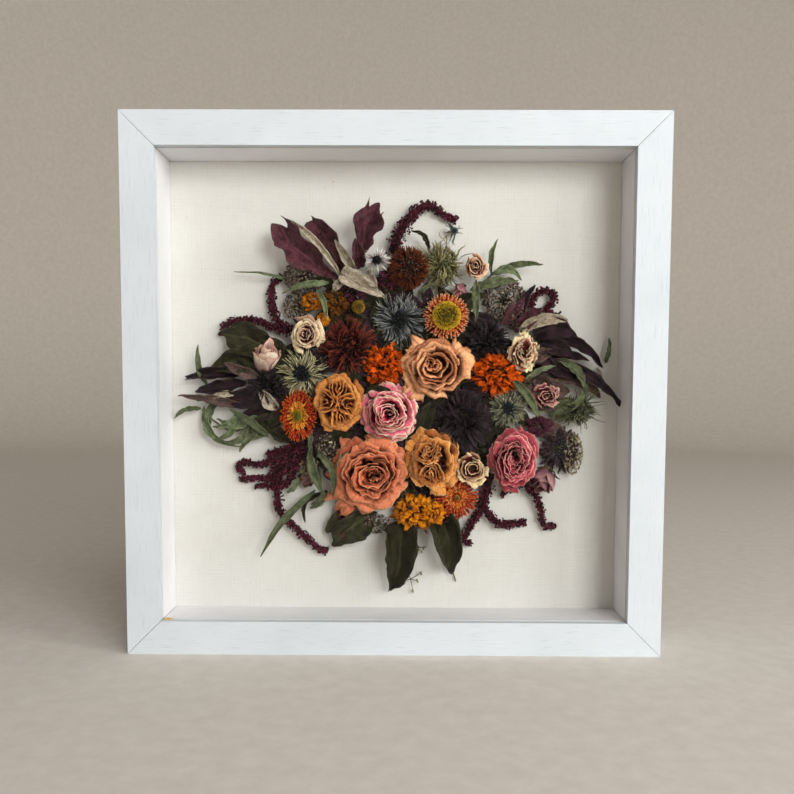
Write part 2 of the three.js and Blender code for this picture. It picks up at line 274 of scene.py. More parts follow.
def petal_skin(name, shaded_throat, body, rim, outer, roughness=0.55, vein=0.5, blotch="#8a5a3a",
               shaded_reach=0.66, edge=0.95):
    """Petals dried in air: papery, finely veined from base to rim, browned from edge to rim, and
    blotched where they bruised. From the base the throat colour runs deep long: it is partly the
    petals' own darker base and partly painted shade for the crevices between them. Outer petals
    fade towards outer."""
    made, put, shader = surface(name, roughness, Specular_IOR_Level=0.35)
    along, across, tone, ring, under = growth(put)
    # The throat colour at the base is painted shade for the crevices between petals, as well as the
    # petals' own darker base.
    fresh = [(0.0, shaded_throat), (shaded_reach, shaded_throat), (shaded_reach + 0.18, body), (edge, body), (1.0, rim)]
    faded = [(0.0, shaded_throat), (0.8 * shaded_reach, shaded_throat), (0.8, outer), (edge, outer), (1.0, rim)]
    fresh = put("ValToRGB", along, stops=fresh)
    faded = put("ValToRGB", along, stops=faded)
    shift = put("Math", put("Math", tone, 0.5, **MINUS), 0.7, **TIMES)
    far_out = put("MapRange", put("Math", ring, shift), 0.4, 1.0)
    colour = put("Mix", far_out, fresh, faded, **MIX)
    place = coordinates(put)
    bruise = put("TexNoise", place, per_mm(5), 4, 0.65)
    bruised = put("MapRange", bruise, 0.56, 0.75, 0.0, 0.75)
    colour = put("Mix", bruised, colour, blotch, **MIX)
    lanes = put("CombineXYZ", put("Math", across, 26.0, **TIMES),
                put("Math", along, 2.2, **TIMES), put("Math", tone, 91.0, **TIMES))
    veins = put("TexNoise", lanes, 1.0, 3, 0.6, Distortion=0.4)
    shade = put("ValToRGB", veins, stops=[(0.32, "#5c3a30"), (0.50, "#ffffff")])
    colour = put("Mix", vein, colour, shade, **TINT)
    dim = put("ValToRGB", tone, stops=[(0.0, "#a88f84"), (0.45, "#ffffff")])
    colour = put("Mix", 0.8, colour, dim, **TINT)
    colour = put("Mix", put("Math", under, 0.3, **TIMES), colour, outer, **MIX)
    crumples = put("TexNoise", place, per_mm(1.6), 4, 0.6)
    height = put("Math", put("Math", veins, 0.7, **TIMES), crumples)
    wear(put, shader, colour, height, 0.7, 0.5)
    return made


def dry_skin(name, base, middle, tip, roughness=0.7):
    """Stiff dry florets, bracts and husks: coloured from base to tip, with dark flecks."""
    made, put, shader = surface(name, roughness, Specular_IOR_Level=0.4)
    along, _, tone, *_ = growth(put)
    colour = put("ValToRGB", along, stops=[(0.0, base), (0.5, middle), (1.0, tip)])
    speck = put("TexNoise", coordinates(put), per_mm(1.1), 4, 0.7)
    specked = put("MapRange", speck, 0.55, 0.8)
    colour = put("Mix", specked, colour, "#1c1512", **MIX)
    tones = [(0.0, "#a09893"), (0.5, "#f0eeec"), (1.0, "#ffffff")]
    dim = put("ValToRGB", tone, stops=tones)
    colour = put("Mix", 0.9, colour, dim, **TINT)
    wear(put, shader, colour, speck, 0.5, 0.25)
    return made


def leaf_skin(name, face, patch, underside, rib, roughness=0.55):
    """Leaves pressed dry: a raised midrib with side veins, patchy colour, pale undersides, and
    painted shade in the valleys of the wrinkles.
    """
    made, put, shader = surface(name, roughness, Specular_IOR_Level=0.45)
    along, across, tone, _, under = growth(put)
    place = coordinates(put)
    clouds = put("TexNoise", place, per_mm(7), 4, 0.6)
    colour = put("ValToRGB", clouds, stops=[(0.35, face), (0.65, patch)])
    aside = put("Math", put("Math", across, 0.5, **MINUS), operation="ABSOLUTE")
    slanted = put("Math", put("Math", along, 9.0, **TIMES),
                  put("Math", aside, 5.0, **TIMES), **MINUS)
    side = put("Math", slanted, 0.5, operation="PINGPONG")
    side_vein = put("MapRange", side, 0.08, 0.0)
    midrib = put("MapRange", aside, 0.045, 0.015)
    side_vein = put("Math", side_vein, 0.45, **TIMES)
    veins = put("Math", midrib, side_vein, operation="MAXIMUM")
    pale = put("ValToRGB", clouds, stops=[(0.3, underside), (0.8, patch)])
    colour = put("Mix", put("Math", under, 0.85, **TIMES), colour, pale, **MIX)
    colour = put("Mix", put("Math", veins, 0.6, **TIMES), colour, rib, **MIX)
    dim = put("ValToRGB", tone, stops=[(0.0, "#a8a29e"), (1.0, "#ffffff")])
    colour = put("Mix", 0.8, colour, dim, **TINT)
    wrinkle = put("TexNoise", place, per_mm(2.6), 5, 0.62, Distortion=0.5)
    # The wrinkles' valleys are darkened: painted shade in the creases.
    painted_crease_shade = put("ValToRGB", wrinkle, stops=[(0.36, "#4e4844"), (0.56, "#ffffff")])
    colour = put("Mix", 0.55, colour, painted_crease_shade, **TINT)
    height = put("Math", put("Math", wrinkle, 2.0, **TIMES), veins)
    wear(put, shader, colour, height, 0.7, 0.7)
    return made


# Dried leaves: name, face, patches, underside and rib, and how rough they are.
LEAF_SKINS = {
    "dark": ("dried rose leaf, dark green", "#20200f", "#47452c", "#6e6c4e", "#5c5a3e"),
    "burgundy": ("dried smokebush leaf, burgundy", "#47242c", "#7a4650", "#b09a8c", "#864e58"),
    "purple": ("dried smokebush leaf, nearly black", "#22151a", "#47303a", "#8f7d70", "#5a4248"),
    "willow": ("dried willow leaf, grey green", "#65714f", "#8c9670", "#a9af86", "#aab188"),
    "mauve": ("dried leaf underside, mauve brown", "#5f4a45", "#7d655c", "#8a7468", "#54403c",
              0.65),
    "cream": ("dried leaf underside, cream", "#dccfb9", "#b9a892", "#e0d4c0", "#988672", 0.7),
}


def shared(make, name, *tones):
    """A material that several pieces wear, made the first time it is asked for."""
    return bpy.data.materials.get(name) or make(name, *tones)


def leaf(kind):
    """A leaf material, by its key in LEAF_SKINS."""
    return shared(leaf_skin, *LEAF_SKINS[kind])


def stalk_skin():
    """Green stalks, calyxes and sepals, dried olive."""
    return shared(dry_skin, "dried green stalk", "#4a4630", "#5b5638", "#6d6644")


# ---- meshes ------------------------------------------------------------------------------

# A faceted lump: the twelve corners and twenty faces of an icosahedron.
WIDE = (1 + math.sqrt(5)) / 2
BAND = [[-1, WIDE, 0], [1, WIDE, 0], [-1, -WIDE, 0], [1, -WIDE, 0]]
LUMP = np.concatenate([np.roll(BAND, turn, axis=1) for turn in range(3)]) / math.hypot(1, WIDE)
LUMP_FACES = np.array(
    [0, 11, 5, 0, 5, 1, 0, 1, 7, 0, 7, 10, 0, 10, 11, 1, 5, 9, 5, 11, 4, 11, 10, 2, 10, 7, 6,
     7, 1, 8, 3, 9, 4, 3, 4, 2, 3, 2, 6, 3, 6, 8, 3, 8, 9, 4, 9, 5, 2, 4, 11, 6, 2, 10, 8, 6, 7,
     9, 8, 1]
).reshape(-1, 3)


def unit(vectors, least=1e-9):
    """Vectors made one long. least keeps an empty one from dividing by zero."""
    return vectors / (np.linalg.norm(vectors, axis=-1, keepdims=True) + least)


def swung(first, second, angle):
    """The vectors first, swung by angle towards the vectors second."""
    return first * np.cos(angle)[..., None] + second * np.sin(angle)[..., None]


def faces_of(*corners):
    """Faces from arrays that each name one corner."""
    return np.stack(corners, axis=-1).reshape(-1, len(corners))


def repeated(faces, many, step):
    """The faces of one part, for many parts of step points each."""
    return (faces + step * np.arange(many)[:, None, None]).reshape(-1, faces.shape[1])


class Growth:
    """Points and faces gathered for one piece, with what the plant materials read."""

    def __init__(self):
        self.points, self.colour, self.under = [], [], []
        self.corners, self.sizes, self.skins = [], [], []
        self.count = 0

    def gather(self, points, groups, reading, skin, under=0.0):
        """Adds points and groups of faces between them. reading is the along, across, tone and
        ring of the points."""
        for faces in groups:
            self.corners.append((faces + self.count).ravel())
            self.sizes.append(np.full(len(faces), faces.shape[1]))
            self.skins.append(np.full(len(faces), skin))
        shape = points.shape[:-1]
        reading = [np.broadcast_to(value, shape) for value in reading]
        self.points.append(points.reshape(-1, 3))
        self.colour.append(np.stack(reading, axis=-1).reshape(-1, 4))
        self.under.append(np.broadcast_to(under, shape).ravel())
        self.count += len(self.points[-1])

    def sheets(self, grid, thickness, tone, ring, skin=0):
        """Thin closed sheets from grid (sheet, row, column, xyz), thickness mm."""
        many, rows, cols, _ = grid.shape
        normal = unit(np.cross(np.gradient(grid, axis=2), np.gradient(grid, axis=1)))
        both = np.stack([grid + normal * thickness / 2, grid - normal * thickness / 2], axis=1)
        each = rows * cols
        index = np.arange(each).reshape(rows, cols)
        front = faces_of(index[:-1, :-1], index[:-1, 1:], index[1:, 1:], index[1:, :-1])
        loop = np.concatenate([index[0, :-1], index[:-1, -1], index[-1, :0:-1], index[:0:-1, 0]])
        after = np.roll(loop, -1)
        rim = faces_of(after, loop, loop + each, after + each)
        faces = np.concatenate([front, front[:, ::-1] + each, rim])
        each_sheet = [np.reshape(value, (-1, 1, 1, 1)) for value in (tone, ring)]
        reading = (np.linspace(0, 1, rows)[:, None], np.linspace(0, 1, cols), *each_sheet)
        under = np.reshape([1.0, 0.0], (2, 1, 1))
        self.gather(both, [repeated(faces, many, 2 * each)], reading, skin, under)

    def knobs(self, centres, radii, tone, ring, skin=0, along=1.0):
        """Small faceted lumps, smooth shaded; radii is (lump, xyz)."""
        points = centres[:, None] + LUMP * radii[:, None]
        reading = [np.reshape(value, (-1, 1)) for value in (along, 0.5, tone, ring)]
        self.gather(points, [repeated(LUMP_FACES, len(centres), len(LUMP))], reading, skin)

    def tube(self, path, radii, tone, skin=0, sides=7):
        """A closed round stalk along path, (point, xyz), with a radius at each point."""
        path, rows = np.asarray(path, float), len(path)
        run = unit(np.gradient(path, axis=0))
        side = unit(np.cross(run, [0.13, 0.21, 1.0]))
        angle = np.arange(sides) / sides * 2 * math.pi
        ring = swung(side[:, None], np.cross(side, run)[:, None], angle)
        rings = path[:, None] + ring * np.reshape(radii, (-1, 1, 1))
        index = np.arange(rows * sides).reshape(rows, sides)
        turned = np.roll(index, -1, axis=1)
        wall = faces_of(index[:-1], turned[:-1], turned[1:], index[1:])
        first, last = np.full(sides, rows * sides), np.full(sides, rows * sides + 1)
        ends = np.concatenate([faces_of(turned[0], index[0], first),
                               faces_of(index[-1], turned[-1], last)])
        along = np.append(np.repeat(np.linspace(0, 1, rows), sides), [0, 1])
        points = np.concatenate([rings.reshape(-1, 3), path[[0, -1]]])
        self.gather(points, [wall, ends], (along, 0.5, tone, 0.5), skin)

    def mesh_object(self, name, skins):
        """The finished piece, in metres in the frame's own place."""
        x, y, z = np.concatenate(self.points).T
        world = np.stack([x, LINEN_Y - z, CENTRE_Z + y], axis=1) * MM
        corners, sizes = np.concatenate(self.corners), np.concatenate(self.sizes)
        mesh = bpy.data.meshes.new(name)
        mesh.vertices.add(len(world))
        mesh.loops.add(len(corners))
        mesh.polygons.add(len(sizes))
        mesh.vertices.foreach_set("co", world.astype(np.float32).ravel())
        for target, field, values in (
            (mesh.loops, "vertex_index", corners),
            (mesh.polygons, "loop_start", np.cumsum(sizes) - sizes),
            (mesh.polygons, "material_index", np.concatenate(self.skins)),
        ):
            target.foreach_set(field, values.astype(np.int32))
        for key, kind, field, values in (
            ("growth", "FLOAT_COLOR", "color", self.colour),
            ("underside", "FLOAT", "value", self.under),
        ):
            layer = mesh.attributes.new(key, kind, "POINT")
            layer.data.foreach_set(field, np.concatenate(values).astype(np.float32).ravel())
        mesh.update(calc_edges=True)
        mesh.validate()
        mesh.shade_smooth()
        for skin in skins:
            mesh.materials.append(skin)
        made = bpy.data.objects.new(name, mesh)
        bpy.context.collection.objects.link(made)
        return made


def crumple(points, rng, amount, wavelength):
    """Moves points by a few slow random waves, as shrinking tissue does."""
    moved = points.copy()
    for _ in range(5):
        heading = rng.normal(size=3)
        heading *= rng.uniform(0.6, 1.6) * 2 * math.pi / wavelength / np.linalg.norm(heading)
        push = rng.normal(size=3)
        push *= amount / np.linalg.norm(push)
        moved += np.sin(points @ heading + rng.uniform(0, FULL_TURN))[..., None] * push
    return moved


def bezier(a, b, c, d, t):
    """A cubic curve's values at t."""
    return (1 - t) ** 3 * a + 3 * (1 - t) ** 2 * t * b + 3 * (1 - t) * t**2 * c + t**3 * d


def seed_for(name):
    """Random draws that are the same each run, and different for each name."""
    return np.random.default_rng(list(name.encode()))


def finish_piece(piece, name, skins, node=None):
    """Makes the object, attaches it to the root body, and hides the node it stands for. A small
    piece has no node of its own."""
    made = piece.mesh_object(name, skins)
    nodes = [node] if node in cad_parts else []
    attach(made, ROOT)
    if nodes:
        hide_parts(*nodes)
    return made


# ---- flower heads ------------------------------------------------------------------------

# How thick dried tissue is drawn, in millimetres, which is two or three times the real one.
PETAL = 0.25
BRACT = 0.3
RAY = 0.35
BUD_PETAL = 0.45
LEAF = 0.45
SEPAL = 0.5


class Head:
    """Where a flower head sits: its centre, half sizes, top and depth, or a swell and a share.
    Then its node's stalk foot gives the centre and its far points the size, times swell, which
    is one number or a width and a height, and share is the depth against the size."""

    def __init__(self, name, *place):
        if len(place) == 4:
            self.centre, self.half, self.top, self.depth = place
            return
        swell, share = place
        co = np.array([v.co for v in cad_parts[name].data.vertices]) / MM
        level = LINEN_Y - co[:, 1]
        foot = co[level < level.min() + 0.2]
        x, y = foot[:, 0].mean(), foot[:, 2].mean() - CENTRE_Z
        self.centre = x, y
        self.half = np.abs(co[:, [0, 2]] - (x, CENTRE_Z + y)).max(axis=0) * swell
        self.top = (LINEN_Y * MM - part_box(name)[0].y) / MM
        self.depth = share * min(self.half) + 2

    def place(self, points, lean=(0, 0)):
        """Unit points, one unit wide and deep, leaned over and set in place."""
        tip, heading = (math.radians(a) for a in lean)
        turn = (
            Matrix.Rotation(heading, 3, "Z")
            @ Matrix.Rotation(tip, 3, "Y")
            @ Matrix.Rotation(-heading, 3, "Z")
        )
        sized = points * (*self.half, self.depth) @ np.array(turn).T
        return sized + (*self.centre, self.top - self.depth)


def rose_petals(rng, count=1, first=0.1, last=1.0, open_share=1.0, ruffle=1.0, rows=8, cols=21,
                tight=0.85, lip=1.0, pinch=1.0, eye=(0.0, 0.0), slack=0.15, wrap=1.0, aim=None):
    """A rose's petals as unit grids: they wrap the heart in a spiral and open outwards. lip is
    how far each rim rolls back, pinch how pointed the rims are, eye where the heart sits, slack
    how far the drying pulled each petal out of line, and aim the headings of single petals."""
    count = len(aim) if aim else count
    order = (np.arange(count) + 0.5) / count
    shape = (count, 1, 1)
    reach = (first + (last - first) * order**tight).reshape(shape)
    far = np.clip((reach - 0.45) / 0.55, 0, 1.2)
    turn = np.array(aim) if aim else np.arange(count) * GOLDEN_ANGLE + rng.uniform(0, FULL_TURN)
    turn = turn.reshape(shape) + rng.normal(0, slack, shape)
    within = np.clip(1 - reach, 0, 1)
    wrap = wrap * (0.78 + 1.2 * within**1.3) * rng.uniform(0.8, 1.15, shape)
    v = np.linspace(0, 1, rows)[:, None]
    u = np.linspace(-1, 1, cols)
    hump = 0.80 + 0.20 * np.sin(np.pi * np.clip(reach * 1.3, 0, 1))
    rise = hump * (1 - 0.66 * open_share * far**1.3) * rng.uniform(0.84, 1.06, shape)
    rolled = lip * (0.028 + 0.075 * open_share * far) * rng.uniform(0.4, 1.6, shape)
    low_corner = 1 - (0.20 + 0.12 * far) * np.abs(u) ** rng.uniform(1.8, 4, shape)
    radius = bezier(0.10 * reach, (0.92 - 0.32 * far) * reach, 0.90 * reach, reach, v)
    height = bezier(0.0, 0.02, 0.80 * rise, rise, v) * low_corner
    roll = np.clip((v - 0.72) / 0.28, 0, 1) ** 1.6
    side = rng.uniform(-0.5, 0.5, shape)
    point = np.exp(-(((u - side) / 0.28) ** 2))
    radius = radius + rolled * roll * (0.75 + 0.9 * pinch * point)
    height = height - rolled * roll * (0.35 + 0.5 * point) - 0.03 * roll
    radius = radius * (1 + 0.06 * u)
    for waves, share in ((0.7, 1.2), (1.6, 1.0), (3.1, 0.85), (5.2, 0.6)):
        size = ruffle * 0.040 * share
        phase = rng.uniform(0, FULL_TURN, shape)
        folded = np.abs(np.sin(waves * 1.57 * u + phase + 0.8 * v)) * 2 - 1
        radius = radius + folded * size * v**2 * (0.35 + 0.65 * reach)
        height = height + np.sin(waves * 3.1 * u + 2 * phase) * size * 0.6 * v**3
    spread = wrap * (0.5 + 0.5 * np.sin(np.pi * 0.5 * np.clip(v * 1.6, 0, 1)))
    angle = turn + spread * u
    lean = rng.normal(0, 0.03, (2, *shape)) * v
    x = radius * np.cos(angle) + lean[0] + eye[0] * within
    y = radius * np.sin(angle) + lean[1] + eye[1] * within
    grid = np.stack([x, y, np.broadcast_to(height, angle.shape)], axis=-1)
    return grid, rng.uniform(0, 1, count), np.clip(reach.ravel(), 0, 1)


def folded_petals(rng, quarters, nested, width=0.34, reach=0.62, near=0.06, turn=0.0):
    """The crowded heart of an old rose: quarters of petals folded double, one inside the
    other, with each fold towards the middle and both edges pointing outwards."""
    grids = []
    v = np.linspace(0, 1, 9)[:, None]
    u = np.linspace(-1, 1, 23)
    for quarter in range(quarters):
        heading = turn + 2 * math.pi * (quarter + rng.uniform(-0.2, 0.2)) / quarters
        far = reach * rng.uniform(0.85, 1.12)
        for fold in range(nested):
            share = (fold + 0.6) / nested
            start = near + (far - near) * (1 - share) * 0.72
            half = width * share * rng.uniform(0.85, 1.15)
            arms = far + rng.uniform(-0.05, 0.07, 2)
            out = start + (np.where(u > 0, arms[0], arms[1]) - start) * np.abs(u) ** 1.5
            over = half * np.sign(u) * np.abs(u) ** 0.55 + rng.normal(0, 0.02)
            top = (0.92 + 0.08 * share) * rng.uniform(0.93, 1.05)
            top = top * (1 - 0.20 * np.abs(u) ** 2.5)
            lean = 0.03 + 0.12 * v**2
            wave = 0.022 * np.sin(u * rng.uniform(6, 11) + rng.uniform(0, FULL_TURN) + 2 * v) * v**1.5
            out = out * (0.38 + 0.62 * v) + wave
            over = over * (0.3 + 0.7 * v) * (1 + lean) + wave * 1.3
            x = out * math.cos(heading) - over * math.sin(heading)
            y = out * math.sin(heading) + over * math.cos(heading)
            z = top * (0.2 + 0.8 * v) + 0.02 * np.sin(u * rng.uniform(7, 13)) * v
            grids.append(np.stack([x, y, z], axis=-1))
    return np.stack(grids), rng.uniform(0, 1, len(grids)), 0.12


def domed(fall, turn):
    """Directions that lean fall away from straight out, headed turn round the head."""
    return np.stack([np.sin(fall) * np.cos(turn), np.sin(fall) * np.sin(turn), np.cos(fall)], -1)


def ray_petals(rng, count, polar, length, width, tilt=10.0, bend=30.0, inner=0.3, cup=0.3,
               point=0.7, rows=6, cols=3, frill=0.0, stray=0.08, even=True):
    """Narrow petals over a dome as unit grids. polar is the range of angles from the dome's
    top where they grow; tilt and bend say how each leans and curves outwards, in degrees.
    inner is where they start, cup how hollow they are, point how far out they are widest,
    frill how ruffled, and stray how uneven; even spaces them by area and not by angle."""
    order = (np.arange(count) + 0.5) / count
    one_each = (count, 1, 1)
    low, high = math.radians(polar[0]), math.radians(polar[1])
    rise = np.sqrt(order) if even else order
    fall = low + (high - low) * rise + rng.normal(0, stray * 0.8, count)
    turn = np.arange(count) * GOLDEN_ANGLE + rng.normal(0, stray * 1.2, count)
    out = domed(fall, turn)[:, None]
    away = np.stack([np.cos(fall) * np.cos(turn), np.cos(fall) * np.sin(turn), -np.sin(fall)], -1)
    away = away[:, None]
    side = np.stack([-np.sin(turn), np.cos(turn), np.zeros(count)], -1)[:, None]
    v = np.linspace(0, 1, rows)
    u = np.linspace(-1, 1, cols)
    angle = tilt + rng.normal(0, 60 * stray, (count, 1))
    angle = np.radians(angle + bend * v * rng.uniform(0.6, 1.4, (count, 1)))
    step, facing = swung(out, away, angle), swung(away, -out, angle)
    reach = length * rng.uniform(1 - 2 * stray, 1 + stray, one_each)
    middle = np.cumsum(step, axis=1) - step[:, :1]
    middle = out * inner + middle * reach / (rows - 1)
    across = swung(side, facing, rng.normal(0, 3 * stray, (count, 1)))
    profile = np.sin(np.pi * np.clip(0.08 + 0.92 * v**point, 0, 0.985)) ** 0.7
    half = width / 2 * profile[:, None] * rng.uniform(0.75, 1.2, one_each)
    step, facing, v = step[:, :, None], facing[:, :, None], v[:, None]
    grid = middle[:, :, None] + across[:, :, None] * (half * u)[..., None]
    grid = grid - facing * (cup * half * u**2)[..., None]
    if frill:
        ripple = u * rng.uniform(4, 8, one_each) + rng.uniform(0, FULL_TURN, one_each) + v * 5
        grid = grid + facing * (frill * np.sin(ripple) * v**1.5)[..., None]
        notch = np.sin(u * rng.uniform(7, 12, one_each) + rng.uniform(0, FULL_TURN, one_each))
        grid = grid + step * (0.5 * frill * notch * (v > 0.9))[..., None]
    return grid, rng.uniform(0, 1, count), order


def dome_points(rng, count, spread, radius, stray=0.04):
    """Points over a dome of the given unit radius, out to spread degrees from its top."""
    order = (np.arange(count) + 0.5) / count
    fall = math.radians(spread) * np.sqrt(order) + rng.normal(0, stray, count)
    return domed(fall, np.arange(count) * GOLDEN_ANGLE) * radius, order


def add_sepals(piece, head, rng, spread, length, width, tilt, bend, inner, lean=(0, 0), flat=1):
    """The five green sepals round a rose's foot."""
    grid, tone, ring = ray_petals(rng, 5, spread, length, width, tilt, bend, inner, even=False)
    piece.sheets(head.place(grid * (1, 1, flat), lean), SEPAL, tone, ring, 2)


def add_stalk(piece, head, rng, skin):
    """The cut stalk and the swollen calyx that carry a head on the cloth."""
    x, y = head.centre
    under = head.top - head.depth
    bow = rng.normal(0, 0.4), rng.normal(0, 0.4)
    stalk = [(x, y, 0.4), (x + bow[0], y + bow[1], under * 0.5), (x, y, under)]
    piece.tube(stalk, [1.5, 1.3, 1.7], 0.5, skin)
    bulb = 0.34 * min(head.half)
    level = under - 0.1 * head.depth
    size = np.array([[bulb, bulb, 0.3 * head.depth]])
    piece.knobs(np.array([[x, y, level]]), size, 0.5, 0.5, skin)


def build_rose(name, slot, swell, colours, rings):
    """One rose head on its stalk."""
    rng, piece, head = seed_for(name), Growth(), Head(name, swell, 0.8)
    edge = 0.91 if slot == "pink_petals" else 0.95
    # How far up the petals the throat's painted shade reaches: less far in roses with a folded heart.
    shaded_reach = 0.68 if any("quarters" in ring for ring in rings) else 0.76
    petal = petal_skin(f"air-dried rose petal, {name}", *colours, shaded_reach=shaded_reach, edge=edge)
    for ring in rings:
        grid, tone, reach = (folded_petals if "quarters" in ring else rose_petals)(rng, **ring)
        grid = crumple(crumple(grid, rng, 0.025, 0.7), rng, 0.012, 0.2)
        piece.sheets(head.place(grid), PETAL, tone, reach)
    add_sepals(piece, head, rng, (86, 92), 0.75, 0.22, 6, -18, 0.15)
    add_stalk(piece, head, rng, 1)
    skins = [petal, stalk_skin(), leaf("dark")]
    return finish_piece(piece, f"{name}_petals", skins, name)


def build_bud(name, place, count, lean, slot, colours):
    """A closed bud lying over on its side, with its sepals folded back."""
    rng, piece, head = seed_for(name), Growth(), Head(name, *place)
    grid, tone, ring = rose_petals(rng, count, 0.15, open_share=0.12, ruffle=0.5, tight=0.6,
                                   rows=12, pinch=0.2, wrap=1.25)
    taper = 1 - 0.35 * grid[..., 2:] ** 2
    grid = np.concatenate([grid[..., :2] * taper, grid[..., 2:]], axis=-1)
    piece.sheets(head.place(crumple(grid, rng, 0.03, 0.8), lean), BUD_PETAL, tone, ring)
    add_sepals(piece, head, rng, (80, 88), 0.6, 0.35, -40, 30, 0.5, lean, 0.8)
    add_stalk(piece, head, rng, 1)
    petal = petal_skin(f"air-dried bud petal, {name}", *colours)
    return finish_piece(piece, f"{name}_petals", [petal, stalk_skin(), leaf("dark")], name)


def build_strawflower(name, share, disc, spread, inner, outer, florets):
    """Stiff glossy bracts in rings round a dome of tiny florets; the outer rows are redder."""
    rng, piece, head = seed_for(name), Growth(), Head(name, 1.04, share)
    # The first tone in each set is the bracts' throat: partly their own dark base, partly painted
    # shade round the disc; it also colours their bruises.
    inside, outside = (
        petal_skin(f"{side} strawflower bract, {name}", *tones, 0.38, 0.5, tones[0], 0.32, 0.62)
        for side, tones in (("inner", inner), ("outer", outer))
    )
    for row, fall in enumerate((40, 52, 64, 76, 87)):
        grid, tone, _ = ray_petals(
            rng, 36 + 5 * row, (fall - 4, fall + 4), (0.31 + 0.03 * row) * spread, 0.085,
            tilt=52 - 9 * row, bend=-66 + 6 * row, inner=disc + (0.62 - disc) * row / 4, cup=1.0,
            point=1.0, stray=0.035, even=False, rows=7,
        )
        grid = head.place(crumple(grid, rng, 0.012, 0.5))
        piece.sheets(grid, BRACT, tone, 0.25 * row, 0 if row < 2 else 3)
    count = 260
    spots, order = dome_points(rng, count, 78, disc * 0.96)
    spots[:, 2] = 0.45 + 0.42 * spots[:, 2] / disc
    size = np.full((count, 3), head.half[0] * disc * 0.075) * (1, 1, 1.8)
    piece.knobs(head.place(spots), size, rng.uniform(0, 1, count), order, 1, order)
    add_stalk(piece, head, rng, 2)
    disc_skin = dry_skin(f"strawflower disc, {name}", *florets, 0.8)
    skins = [inside, disc_skin, stalk_skin(), outside]
    return finish_piece(piece, f"{name}_bracts", skins, name)


def build_rays(name, place, slot, skin, disc, layers):
    """A head of narrow petals or bristles in layers, with an optional centre of florets."""
    rng, piece, head = seed_for(name), Growth(), Head(name, *place)
    skins = [shared(*skin), shared(*skin), stalk_skin()]
    for layer in layers:
        settings = {"thickness": RAY, "crumple": 0.015, **layer}
        thickness, shift = settings.pop("thickness"), settings.pop("crumple")
        grid, tone, ring = ray_petals(rng, **settings)
        piece.sheets(head.place(crumple(grid, rng, shift, 0.7)), thickness, tone, ring)
    if disc:
        count, spread, radius, size, *florets = disc
        if florets:
            skins[1] = shared(*florets)
        spots, order = dome_points(rng, count, spread, radius)
        size = np.full((count, 3), size)
        piece.knobs(head.place(spots), size, rng.uniform(0, 1, count), order, 1, order)
    add_stalk(piece, head, rng, 2)
    return finish_piece(piece, f"{name}_head", skins, name)


# ---- seed sprays and tassels -------------------------------------------------------------


def smooth_path(points, spacing):
    """Evenly spaced points on a smooth curve through the given ones."""
    points = np.asarray(points, float)
    padded = np.concatenate([[2 * points[0] - points[1]], points, [2 * points[-1] - points[-2]]])
    t = np.linspace(0, 1, 12, endpoint=False)[:, None]
    runs = []
    for p0, p1, p2, p3 in zip(padded, padded[1:], padded[2:], padded[3:]):
        second, third = 2 * p0 - 5 * p1 + 4 * p2 - p3, 3 * p1 - p0 - 3 * p2 + p3
        runs.append(0.5 * (2 * p1 + (p2 - p0) * t + second * t**2 + third * t**3))
    fine = np.concatenate([*runs, points[-1:]])
    length = np.concatenate([[0], np.cumsum(np.linalg.norm(np.diff(fine, axis=0), axis=1))])
    at = np.linspace(0, length[-1], max(3, int(length[-1] / spacing)))
    return np.stack([np.interp(at, length, column) for column in fine.T], axis=1)


def add_tassel(piece, rng, base_radius, tip_radius, points):
    """A rope of amaranth: tufts of tiny seed knobs, with gaps, all round a thin stem."""
    levels = np.linspace(8.0, 3.0, len(points))
    path = smooth_path([(x, y, z) for (x, y), z in zip(points, levels)], 0.85)
    radius = np.linspace(base_radius, tip_radius, len(path)) * 1.25
    piece.tube(path, radius * 0.6, 0.1, 0, 6)
    run = unit(np.gradient(path, axis=0), 0)
    side = unit(np.stack([-run[:, 1], run[:, 0], np.zeros(len(run))], axis=1), 0)
    tufts = np.repeat(np.arange(len(path)), 2)
    angle = np.arange(len(tufts)) * GOLDEN_ANGLE + rng.normal(0, 0.4, len(tufts))
    out = swung(side[tufts], np.cross(run, side)[tufts], angle)
    far = radius[tufts] * rng.uniform(0.5, 1.05, len(tufts))
    each = 3
    spread = np.repeat(0.34 * radius[tufts], each)[:, None]
    centres = np.repeat(path[tufts] + out * far[:, None], each, axis=0)
    centres = centres + rng.normal(0, 0.55, centres.shape) * spread
    centres[:, 2] = np.maximum(centres[:, 2], 0.8)
    grain = rng.uniform(0.5, 1.0, (len(centres), 1)) * rng.uniform(0.7, 1.4, centres.shape)
    tone = np.repeat(rng.uniform(0, 1, len(tufts)), each) + rng.normal(0, 0.2, len(centres))
    along = rng.uniform(0, 1, len(centres))
    piece.knobs(centres, grain, np.clip(tone, 0, 1), 0.5, 0, along)


